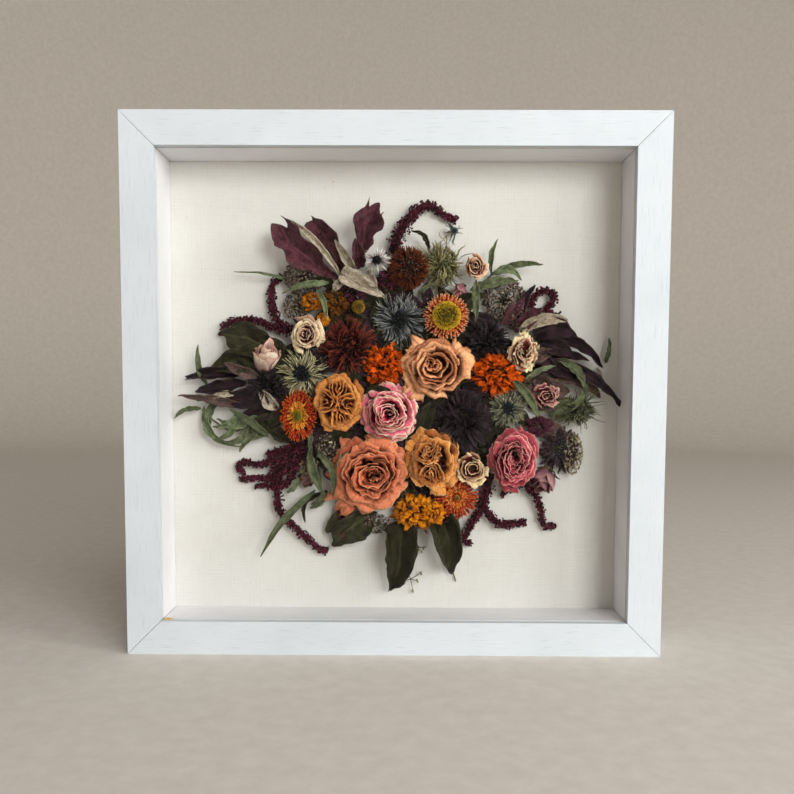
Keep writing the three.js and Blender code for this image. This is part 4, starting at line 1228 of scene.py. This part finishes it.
# Cut sprays: slot, kinds of leaf, twigs, and then each leaf's x and y at its base and at its
# tip, width, rise, level and bow in millimetres, curl, which kind, and what else shapes it.
LEAVES = {
    "leaves_top_left": ("burgundy_leaf", ("burgundy", "cream", "willow", "dark", "mauve"),
                        [[(-52, 70), (-46, 80), (-42, 86)], [(-42, 86), (-30, 92), (-24, 100)]],
        (-43, 84, -88, 121, 23, 8, 8, 4, 0.5, 0,
         dict(arch=4, fold=0.6, point=1.7, blunt=0.85, torn=0.34, wave=0.1, rows=22, cols=11)),
        (-42, 86, -66, 126, 17, 6, 4, -6, 0.8, 0,
         dict(arch=3, fold=0.7, point=1.5, blunt=0.7, torn=0.12, wave=0.1, rows=18, cols=9)),
        (-42, 86, -79, 126, 6, 10, 13, -3, 1.2, 1, dict(arch=6, fold=0.7, point=0.9)),
        (-40, 86, -52, 112, 9, 8, 4, -3, 1, 0, dict(fold=0.8)),
        (-25, 97, -14, 138, 22, 12, 2, 3, 0.6, 0,
         dict(arch=4, fold=0.6, wave=0.14, point=1.9, blunt=0.75, torn=0.22, rows=22, cols=11)),
        (-27, 94, -30, 114, 12, 9, 2, 0, 1, 0, dict(fold=0.6, torn=0.1)),
        (-30, 86, -45, 111, 10, 12, 9, 0, 1.2, 1, dict(fold=0.5, torn=0.08)),
        (-42, 88, -8, 69, 14, 3, 15, 0, 0.4, 1, dict(arch=2, fold=0.6, point=0.55, torn=0.1)),
        (-22, 88, -14, 76, 8, 2, 17, 0, 0.4, 1, dict(fold=0.4, torn=0.15)),
        (-40, 82, -48, 73, 7, 2, 15, 0, 0.5, 1, dict(torn=0.1)),
        (-77, 82, -124, 89, 2.5, 4, 6, -2, 1, 2, dict(fold=0.2, point=0.5)),
        (-51, 80, -86, 72, 5.2, 3, 15, -2, 0.7, 2, dict(point=0.7)),
        (-60, 75, -53, 51, 4.4, 3, 15, 3, 0.7, 2), (-46, 78, -62, 84, 9, 3, 8, 0, 0.7, 3),
    ),
    "leaves_left": ("dark_leaf", ("dark", "purple", "cream", "mauve"),
                        [[(-96, 20), (-108, 18), (-122, 10), (-146, 2)]],
        (-98, 34, -134, 42, 25, 5, 2, 0, 0.4, 0, dict(arch=5, fold=0.5, torn=0.15)),
        (-98, 20, -146, 12, 19, 4, 2, -5, 0.5, 0, dict(arch=4, fold=0.6, torn=0.08)),
        (-122, 12, -162, 7, 12, 6, 2, 0, 1.1, 1, dict(arch=6, fold=0.7, twist=0.5, blunt=0.3)),
        (-118, 4, -156, -3, 11, 4, 2, 0, 0.9, 1, dict(arch=5, fold=0.7)),
        (-106, 8, -132, 19, 10, 3, 9, 0, 1.1, 3, dict(fold=0.5, torn=0.1)),
        (-120, -3, -147, -7, 6, 4, 6, 0, 1, 2),
        (-96, -8, -136, -8, 17, 4, 2, 0, 0.6, 1, dict(arch=4)),
        (-100, 16, -126, 32, 16, 4, 2, 0, 0.6, 0, dict(arch=5, torn=0.08)),
        (-90, -14, -122, -24, 16, 3, 2, 0, 0.6, 1, dict(arch=3)),
        (-88, -22, -118, -36, 15, 3, 2, 0, 0.5, 0, dict(arch=3)),
        (-92, -16, -104, -2, 11, 3, 9, 0, 0.8, 2, dict(fold=0.6, blunt=0.3)),
        (-84, 22, -104, 40, 15, 3, 2, 0, 0.5, 0, dict(arch=3)),
    ),
    "willow_left": ("willow_leaf", ("willow", "mauve"),
                        [[(-96, -34), (-112, -30), (-128, -34), (-142, -26), (-152, -17)]],
        (-152, -16, -172, -24, 4.4, 3, 5, -3, 0.8, 0),
        (-146, 1, -152, 33, 4.8, 6, 7, 2, 0.6, 0),
        (-150, -15, -121, -46, 5.9, 3, 4, -9, 0.9, 0),
        (-98, -38, -127, -17, 5.9, 4, 10, -2, 0.5, 0),
        (-99, -36, -121, -50, 5.9, 2, 6, -5, 0.7, 0),
        (-118, -14, -168, -6, 9, 5, 6, -1, 1.3, 1, dict(point=0.6)),
        (-136, -6, -144, -38, 6.7, 2, 3, -5, 0.6, 0),
        (-120, -18, -141, -30, 5.9, 3, 9, 5, 0.9, 0),
        (-122, -20, -140, -40, 5.9, 3, 8, 6, 0.9, 0),
        (-114, -26, -134, -42, 5.9, 3, 8, 7, 0.9, 0),
        (-108, -22, -138, -24, 6.7, 3, 7, 6, 0.9, 0),
    ),
    "willow_low_left": ("willow_leaf", ("willow", "dark"),
                        [[(-66, -44), (-60, -64), (-58, -84), (-66, -92)]],
        (-66, -50, -54, -82, 8.1, 4, 12, -2, 0.9, 0),
        (-60, -50, -48, -84, 5.9, 3, 14, 7, 0.8, 0),
        (-66, -29, -68, -60, 3.7, 2, 12, 2, 0.8, 0),
        (-33, -40, -44, -69, 5.9, 3, 12, -2, 0.8, 0),
        (-62, -80, -105, -132, 5.9, 2, 9, -4, 0.7, 0),
        (-54, -80, -66, -94, 7.4, 2, 5, 2, 0.8, 0), (-53, -82, -71, -106, 5, 2, 3, -9, 1.2, 1),
        (-72, -70, -84, -82, 5.2, 2, 6, 0, 0.9, 0),
    ),
    "leaf_low_green": ("dark_leaf", ("dark",), [],
        (-14, -100, -50, -124, 24, 4, 2, -3, 0.35, 0, dict(arch=4, fold=0.3)),
        (-34, -96, -54, -112, 14, 4, 2, 0, 0.5, 0, dict(arch=4, fold=0.3)),
    ),
    "leaf_bottom_large": ("dark_leaf", ("dark",),
                        [[(8, -98), (6, -108), (4, -120)]],
        (6, -104, -3, -159, 26, 5, 2, 3, 0.6, 0,
         dict(arch=6, fold=0.8, point=0.65, wave=0.12, rows=22, cols=9)),
    ),
    "leaf_bottom_small": ("dark_leaf", ("dark",),
                        [[(38, -98), (42, -126), (45, -140), (49, -153)]],
        (36, -100, 45, -145, 24, 4, 2, 2, 0.7, 0,
         dict(arch=6, fold=0.9, point=0.6, wave=0.12, torn=0.03, rows=20, cols=9)),
    ),
    "willow_top_right": ("willow_leaf", ("willow", "dark"),
                        [[(61, 62), (64, 76), (76, 90)]],
        (74, 88, 113, 95, 5.2, 5, 8, 3, 0.5, 0), (74, 88, 78, 114, 4, 6, 8, 3, 0.8, 0),
        (74, 87, 97, 83, 5.9, 2, 10, 6, 0.7, 0), (58, 76, 94, 82, 7.4, 2, 12, 2, 0.6, 0),
        (61, 82, 61, 50, 5.9, 3, 19, 0, 0.6, 0), (17, 71, 31, 80, 3.7, 2, 17, 1, 0.6, 0),
        (26, 106, 12, 121, 4, 4, 5, -4, 1, 1), (42, 58, 68, 74, 14, 2, 6, 0, 0.5, 1),
    ),
    "leaves_right": ("burgundy_leaf", ("purple", "cream", "willow", "burgundy", "mauve"),
                        [[(100, 44), (114, 36), (126, 22), (128, 10)]],
        (92, 44, 112, 62, 13, 3, 9, 0, 0.7, 3, dict(fold=0.5, torn=0.1)),
        (84, 50, 99, 70, 10, 3, 8, 0, 0.8, 3),
        (96, 46, 108, 80, 9, 3, 6, 5, 0.9, 0, dict(fold=0.7)),
        (96, 46, 132, 53, 11, 4, 12, 3, 0.9, 1, dict(fold=0.6)),
        (106, 42, 140, 40, 16, 3, 7, 6, 0.6, 0, dict(fold=0.6, torn=0.06)),
        (110, 34, 137, 24, 15, 3, 8, 3, 0.7, 0, dict(fold=0.7)),
        (104, 34, 124, 14, 12, 3, 7, 0, 0.7, 0, dict(fold=0.5)),
        (122, 40, 160, 17, 10, 4, 7, 5, 0.9, 0, dict(fold=0.6)),
        (112, 26, 150, 22, 9, 4, 5, 3, 0.9, 0, dict(fold=0.6)),
        (122, 22, 175, -12, 10, 3, 7, 5, 0.9, 0, dict(fold=0.6, blunt=0.35, rows=22)),
        (106, 18, 150, 6, 13, 2, 5, 4, 0.6, 0, dict(fold=0.6)),
        (118, 14, 160, -6, 15, 2, 3, 6, 0.5, 4, dict(torn=0.08)),
        (100, 22, 122, 30, 11, 3, 10, 0, 0.8, 4, dict(fold=0.5)),
        (158, 17, 162, -2, 3.5, 2, 3, 0, 0.8, 1, dict(torn=0.2)),
        (164, 20, 166, 40, 3.7, 3, 4, 0, 0.8, 2), (124, 24, 147, -2, 6.7, 3, 11, 5, 0.6, 2),
        (100, 7, 123, 18, 4.4, 3, 14, 2, 0.6, 2), (90, 8, 110, -22, 6.7, 3, 15, 2, 0.7, 2),
        (120, -20, 150, 6, 5.9, 3, 8, -6, 0.7, 2),
        (98, 6, 136, -2, 18, 2, 4, 0, 0.5, 4, dict(torn=0.08)),
        (104, -14, 140, -8, 12, 2, 3, 0, 0.6, 4), (106, -24, 136, -36, 13, 2, 3, 0, 0.6, 4),
        (112, -16, 150, -14, 5.9, 3, 6, 4, 0.7, 2),
    ),
}


# ---- settings ----------------------------------------------------------------------------


class BoxFrameSettings(bpy.types.PropertyGroup):
    """Sizes of the frame's own finish, and of the light on it."""

    edge_round: bpy.props.FloatProperty(
        name="Edge rounding", description="How far the painted edges are sanded back",
        default=0.25 * MM, min=0.0, max=2 * MM, unit="LENGTH", precision=5,
    )
    thread_pitch: bpy.props.FloatProperty(
        name="Thread pitch", description="Spacing of the linen's threads as drawn, in mm",
        default=1.3, min=0.4, max=3.0,
    )
    filler_leaves: bpy.props.IntProperty(
        name="Filler leaves", description="Dark leaves tucked between the heads",
        default=170, min=0, max=400,
    )
    key_strength: bpy.props.FloatProperty(
        name="Window light", description="Power of the soft light at the right, in watts",
        default=32.5, min=0.0, subtype="POWER",
    )
    sky_strength: bpy.props.FloatProperty(
        name="Room light", description="Strength of the even light all round",
        default=0.17, min=0.0,
    )
    floor_colour: bpy.props.FloatVectorProperty(
        name="Floor colour", description="Colour of the plain floor", size=4, subtype="COLOR",
        default=linear("#e4ded4"), min=0.0, max=1.0,
    )


# ---- operators ---------------------------------------------------------------------------


class BOXFRAME_OT_moulding(bpy.types.Operator):
    """Finishes the painted rails and the spacers behind the glass"""

    bl_idname = "boxframe.moulding"
    bl_label = "Moulding"

    def execute(self, context):
        settings = context.scene.box_frame
        # Rails and spacers wear the same paint: the rails' darker, cooler tint is painted shade, and
        # the spacers' lighter tint is painted light bounced round inside the box.
        for part, white in (("rail", "#d8dee4"), ("spacer", "#f3f0f3")):
            across, upright = painted_wood("X", white), painted_wood("Z", white)
            for side in ("top", "bottom", "left", "right"):
                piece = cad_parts[f"{part}_{side}"]
                piece.material_slots[0].material = across if side in ("top", "bottom") else upright
                rounded = piece.modifiers.new("sanded edges", "BEVEL")
                rounded.width = settings.edge_round
                rounded.segments = 3
                rounded.limit_method = "ANGLE"
                rounded.harden_normals = True
        return {"FINISHED"}


class BOXFRAME_OT_glazing(bpy.types.Operator):
    """Finishes the pane of picture glass"""

    bl_idname = "boxframe.glazing"
    bl_label = "Glass"

    def execute(self, context):
        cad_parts["glass_pane"].material_slots[0].material = picture_glass()
        return {"FINISHED"}


class BOXFRAME_OT_backing(bpy.types.Operator):
    """Stretches the linen over its board and finishes the back of the frame"""

    bl_idname = "boxframe.backing"
    bl_label = "Linen and back"

    def execute(self, context):
        low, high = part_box("linen_backing")
        width, height = high.x - low.x, high.z - low.z
        thickness = (high.y - low.y) / MM
        side = np.linspace(-0.5, 0.5, 40)
        x, y = np.meshgrid(side * width / MM, side * height / MM)
        grid = np.stack([x, y, np.full_like(x, -thickness / 2)], axis=-1)
        grid[..., 2] = crumple(grid, seed_for("linen"), 0.02, 90)[..., 2]
        cloth = Growth()
        cloth.sheets(grid[None], thickness - 0.1, 0.5, 0.5)
        skins = [woven_linen(context.scene.box_frame.thread_pitch)]
        linen = finish_piece(cloth, "linen_cloth", skins, "linen_backing")
        for node, skin in (
            ("mount_board", grey_board()),
            ("back_panel", fibreboard()),
            ("dust_cover", kraft_paper()),
            ("sawtooth_hanger", brassed_steel()),
        ):
            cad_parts[node].material_slots[0].material = skin
        self.nail_heads()
        self.glue_smear()
        return {"FINISHED"}

    def nail_heads(self):
        """Two round-headed pins through the ends of the hanger."""
        low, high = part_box("sawtooth_hanger")
        inset, radius, dome = 5.0, 1.9, 1.1
        back = LINEN_Y - high.y / MM
        y = (low.z * 0.6 + high.z * 0.4) / MM - CENTRE_Z
        steps = np.linspace(0, math.pi / 2, 6)
        levels = back + 0.05 - dome * np.sin(steps)
        piece = Growth()
        for x in (low.x / MM + inset, high.x / MM - inset):
            path = [(x, y, level) for level in levels]
            piece.tube(path, radius * np.cos(steps) + 0.02, 0.7, 0, 18)
        skins = [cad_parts["sawtooth_hanger"].material_slots[0].material]
        finish_piece(piece, "hanger_nails", skins)

    def glue_smear(self):
        """A little glue squeezed out of the lower left mitre, against the glass."""
        x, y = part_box("rail_left")[1].x / MM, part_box("rail_bottom")[1].z / MM - CENTRE_Z
        front = LINEN_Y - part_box("glass_pane")[0].y / MM
        piece = Growth()
        path = [(x + 1.0, y + 0.4, front + 0.9), (x + 4.0, y + 0.5, front + 0.7),
                (x + 8.0, y + 0.3, front + 0.6)]
        piece.tube(smooth_path(path, 0.8), [0.5, 0.9, 1.0, 0.8, 0.9, 0.6, 0.4, 0.2], 0.5)
        finish_piece(piece, "glue_smear", [dried_glue()])


class BOXFRAME_OT_roses(bpy.types.Operator):
    """Builds the garden roses, spray roses and buds"""

    bl_idname = "boxframe.roses"
    bl_label = "Roses"

    def execute(self, context):
        build_all(build_rose, ROSES)
        return build_all(build_bud, BUDS)


class BOXFRAME_OT_strawflowers(bpy.types.Operator):
    """Builds the strawflowers, with their glossy bracts"""

    bl_idname = "boxframe.strawflowers"
    bl_label = "Strawflowers"

    def execute(self, context):
        build_all(build_strawflower, STRAWFLOWERS)
        return build_all(build_rays, BRISTLES)


class BOXFRAME_OT_marigolds(bpy.types.Operator):
    """Builds the marigolds, the small orange florets and the button flower"""

    bl_idname = "boxframe.marigolds"
    bl_label = "Marigolds"

    def execute(self, context):
        return build_all(build_rays, MARIGOLDS)


class BOXFRAME_OT_dark_heads(bpy.types.Operator):
    """Builds the dahlia, the chrysanthemum and the dark thistle-like heads"""

    bl_idname = "boxframe.dark_heads"
    bl_label = "Dark heads"

    def execute(self, context):
        return build_all(build_rays, DARK_HEADS)


class BOXFRAME_OT_seed_heads(bpy.types.Operator):
    """Builds the scabious, nigella and aster heads"""

    bl_idname = "boxframe.seed_heads"
    bl_label = "Seed heads"

    def execute(self, context):
        return build_all(build_rays, SEED_HEADS)


class BOXFRAME_OT_seed_sprays(bpy.types.Operator):
    """Builds the clusters of small husks"""

    bl_idname = "boxframe.seed_sprays"
    bl_label = "Seed sprays"

    def execute(self, context):
        return build_all(build_seed_spray, SEED_SPRAYS)


class BOXFRAME_OT_tassels(bpy.types.Operator):
    """Builds the hanging ropes of amaranth"""

    bl_idname = "boxframe.tassels"
    bl_label = "Amaranth"

    def execute(self, context):
        return build_all(build_tassels, TASSELS)


class BOXFRAME_OT_leaves(bpy.types.Operator):
    """Builds the leaf sprays, the single leaves and the sprig of buds"""

    bl_idname = "boxframe.leaves"
    bl_label = "Leaves"

    def execute(self, context):
        build_all(build_leaves, LEAVES)
        self.bud_sprig()
        return {"FINISHED"}

    def bud_sprig(self):
        """A wiry sprig with a few tiny buds at its forks."""
        rng, piece = seed_for("bud_sprig"), Growth()
        for radius, level, stem in (
            (0.6, 3.5, [(20, -104), (13, -128), (11, -144), (13, -151)]),
            (0.45, 5.0, [(3, -112), (10, -126), (12, -146)]),
            (0.4, 5.5, [(3, -124), (12, -126), (20, -124)]),
        ):
            add_twig(piece, stem, radius, 0, level)
        for (fork_x, fork_y), tips in (
            ((13, -151), [(21, -146), (18, -152), (15, -160), (9, -152)]),
            ((19, -125), [(24, -126), (20, -128), (17, -123)]),
        ):
            for x, y in tips:
                twig = [(fork_x, fork_y), ((fork_x + x) / 2, (fork_y + y) / 2), (x, y)]
                add_twig(piece, twig, 0.35, 0, 4.5)
                spots = np.array([[x, y, 4.5]]) + rng.normal(0, 0.7, (3, 3))
                piece.knobs(spots, rng.uniform(0.8, 1.2, (3, 3)), rng.uniform(0, 1, 3), 0.5, 1)
        bud = dry_skin("tiny dried bud", "#4a4a38", "#77785a", "#a8a888", 0.8)
        finish_piece(piece, "bud_sprig_stems", [stalk_skin(), bud], "bud_sprig")


class BOXFRAME_OT_filler(bpy.types.Operator):
    """Tucks dark leaves and stalks between the heads, so that no cloth shows there"""

    bl_idname = "boxframe.filler"
    bl_label = "Filler foliage"

    centre = (4.0, -3.0)
    half = (126.0, 96.0)
    corners = 1.45  # the outline's power: 2 is an ellipse, 1 a diamond

    def execute(self, context):
        rng, piece = seed_for("filler"), Growth()
        count = context.scene.box_frame.filler_leaves
        for number in range(count):
            share, angle = math.sqrt((number + 0.5) / count), number * GOLDEN_ANGLE
            x, y = self.spot(0.88 * share, angle)
            heading = angle + rng.normal(0, 0.9)
            length, width = rng.uniform(20, 32), rng.uniform(10, 16)
            level = 2.0 + (1 - share) * rng.uniform(1, 11)
            dx, dy = 0.5 * length * math.cos(heading), 0.5 * length * math.sin(heading)
            add_leaf(piece, rng, x - dx, y - dy, x + dx, y + dy, width, rng.uniform(1, 5), level,
                     rng.normal(0, 2), rng.uniform(0.2, 0.8), int(rng.integers(0, 3)),
                     rows=9, cols=5)
        for _ in range(40):
            start = self.near(self.centre, rng, 12)
            end = self.spot(rng.uniform(0.3, 0.9), rng.uniform(0, FULL_TURN))
            middle = self.near([(a + b) / 2 for a, b in zip(start, end)], rng, 5)
            add_twig(piece, [start, middle, end], 1.1, 3, rng.uniform(2, 7))
        skins = [leaf("dark"), leaf("purple"), leaf("dark"), stalk_skin()]
        finish_piece(piece, "filler_foliage", skins)
        return {"FINISHED"}

    def near(self, place, rng, stray):
        """A place up to about twice stray away from the given one."""
        return place[0] + rng.normal(0, stray), place[1] + rng.normal(0, stray)

    def spot(self, share, angle):
        """A place in the bouquet, share of the way from its middle to its outline."""
        c, s = math.cos(angle), math.sin(angle)
        power = self.corners
        reach = abs(c / self.half[0]) ** power + abs(s / self.half[1]) ** power
        reach = share * reach ** (-1 / power)
        return self.centre[0] + reach * c, self.centre[1] + reach * s


class BOXFRAME_OT_stage(bpy.types.Operator):
    """Sets up the camera, the soft lights and a plain floor"""

    bl_idname = "boxframe.stage"
    bl_label = "Stage"

    image_px = 794
    focal_px = 820
    drop_px = 46  # the picture is cropped, so its middle is above the lens's axis
    distance = 604.0  # lens to the frame's front face
    eye = (5.3, 200.0)  # lens, from the middle of the frame and from the floor
    turn = (-3.80, 0.31, -0.22)  # pitch, yaw and roll in degrees

    def execute(self, context):
        settings = context.scene.box_frame
        self.camera(context)
        self.floor(settings)
        self.lights(context, settings)
        return {"FINISHED"}

    def camera(self, context):
        """The lens, almost straight in front of the frame."""
        lens = bpy.data.cameras.new("camera")
        lens.sensor_fit = "HORIZONTAL"
        lens.sensor_width = 36.0
        lens.lens = self.focal_px / self.image_px * lens.sensor_width
        lens.shift_y = self.drop_px / self.image_px
        lens.clip_start = 0.01
        made = bpy.data.objects.new("camera", lens)
        context.collection.objects.link(made)
        pitch, yaw, roll = (math.radians(a) for a in self.turn)
        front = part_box("rail_top")[0].y
        place = Matrix.Translation((self.eye[0] * MM, front - self.distance * MM, self.eye[1] * MM))
        made.matrix_world = (
            place
            @ Matrix.Rotation(yaw, 4, "Z")
            @ Matrix.Rotation(pitch, 4, "X")
            @ Matrix.Rotation(roll, 4, "Y")
            @ Matrix.Rotation(math.pi / 2, 4, "X")
        )
        context.scene.camera = made
        context.scene.view_settings.view_transform = "Standard"

    def floor(self, settings):
        """A plain floor that sweeps up all round into a low wall."""
        flat, bend, height, sides = 2.2, 0.7, 2.3, 96
        section = [(0.0, 0.0), (0.3, 0.0), (0.9, 0.0), (flat, 0.0)]
        section += [
            (flat + bend * math.sin(a), bend * (1 - math.cos(a)))
            for a in np.linspace(0, math.pi / 2, 14)[1:]
        ]
        section.append((flat + bend, height))
        angles = [2 * math.pi * i / sides for i in range(sides)]
        points = [(0.0, 0.0, 0.0)]
        points += [(r * math.cos(a), r * math.sin(a), z) for r, z in section[1:] for a in angles]
        faces = [(0, 1 + i, 1 + (i + 1) % sides) for i in range(sides)]
        for start in range(1, len(points) - sides, sides):
            for i in range(sides):
                low, after = start + i, start + (i + 1) % sides
                faces.append((low, low + sides, after + sides, after))
        mesh = bpy.data.meshes.new("floor_sweep")
        mesh.from_pydata(points, [], faces)
        mesh.shade_smooth()
        made, put, shader = surface("matt painted floor", 0.85)
        speck = put("TexNoise", coordinates(put), per_mm(14), 3, 0.6)
        tint = put("ValToRGB", speck, stops=[(0.3, "#f4f3f2"), (0.7, "#ffffff")])
        colour = put("Mix", 1.0, tuple(settings.floor_colour), tint, **TINT)
        made.node_tree.links.new(colour, shader.inputs["Base Color"])
        mesh.materials.append(made)
        floor = bpy.data.objects.new("floor_sweep", mesh)
        bpy.context.collection.objects.link(floor)

    def lights(self, context, settings):
        """A soft window at the right, a weaker one at the left, and an even room."""
        middle = Vector((0, 0, CENTRE_Z * MM))
        for name, power, size, azimuth, elevation, away, glossy in (
            ("window_right", 1.3, 1.1, 28, 16, 2.5, False),
            ("window_side", 0.85, 1.1, 60, 14, 2.5, False),
            ("lamp_right", 0.08, 0.4, 62, 30, 2.2, True),
            ("window_left", 0.04, 0.8, -55, 25, 2.2, True),
        ):
            lamp = bpy.data.lights.new(name, "AREA")
            lamp.shape = "RECTANGLE"
            lamp.energy = settings.key_strength * power
            lamp.size = lamp.size_y = size
            made = bpy.data.objects.new(name, lamp)
            context.collection.objects.link(made)
            made.visible_glossy = made.visible_transmission = glossy
            made.visible_camera = False
            a, e = math.radians(azimuth), math.radians(elevation)
            back = Vector((math.sin(a) * math.cos(e), -math.cos(a) * math.cos(e), math.sin(e)))
            made.location = middle + back * away
            made.rotation_euler = back.to_track_quat("Z", "Y").to_euler()
        world = bpy.data.worlds.new("room")
        world.use_nodes = True
        shade = world.node_tree.nodes["Background"]
        shade.inputs["Color"].default_value = linear("#f8f0ef")
        shade.inputs["Strength"].default_value = settings.sky_strength
        context.scene.world = world


class BOXFRAME_PT_panel(bpy.types.Panel):
    """Sidebar panel with the settings and a button for each piece"""

    bl_idname = "BOXFRAME_PT_panel"
    bl_label = "Dried Flower Box Frame"
    bl_space_type = "VIEW_3D"
    bl_region_type = "UI"
    bl_category = "Box Frame"

    def draw(self, context):
        layout = self.layout
        for key in BoxFrameSettings.__annotations__:
            layout.prop(context.scene.box_frame, key)
        for operator in OPERATORS:
            layout.operator(operator.bl_idname)


OPERATORS = (
    BOXFRAME_OT_stage,
    BOXFRAME_OT_moulding,
    BOXFRAME_OT_glazing,
    BOXFRAME_OT_backing,
    BOXFRAME_OT_roses,
    BOXFRAME_OT_strawflowers,
    BOXFRAME_OT_marigolds,
    BOXFRAME_OT_dark_heads,
    BOXFRAME_OT_seed_heads,
    BOXFRAME_OT_seed_sprays,
    BOXFRAME_OT_tassels,
    BOXFRAME_OT_leaves,
    BOXFRAME_OT_filler,
)
CLASSES = (BoxFrameSettings, *OPERATORS, BOXFRAME_PT_panel)


def register():
    for cls in CLASSES:
        bpy.utils.register_class(cls)
    bpy.types.Scene.box_frame = bpy.props.PointerProperty(type=BoxFrameSettings)


def unregister():
    del bpy.types.Scene.box_frame
    for cls in reversed(CLASSES):
        bpy.utils.unregister_class(cls)


def main():
    register()
    for operator in OPERATORS:
        group, name = operator.bl_idname.split(".")
        getattr(getattr(bpy.ops, group), name)()


if __name__ == "__main__":
    main()
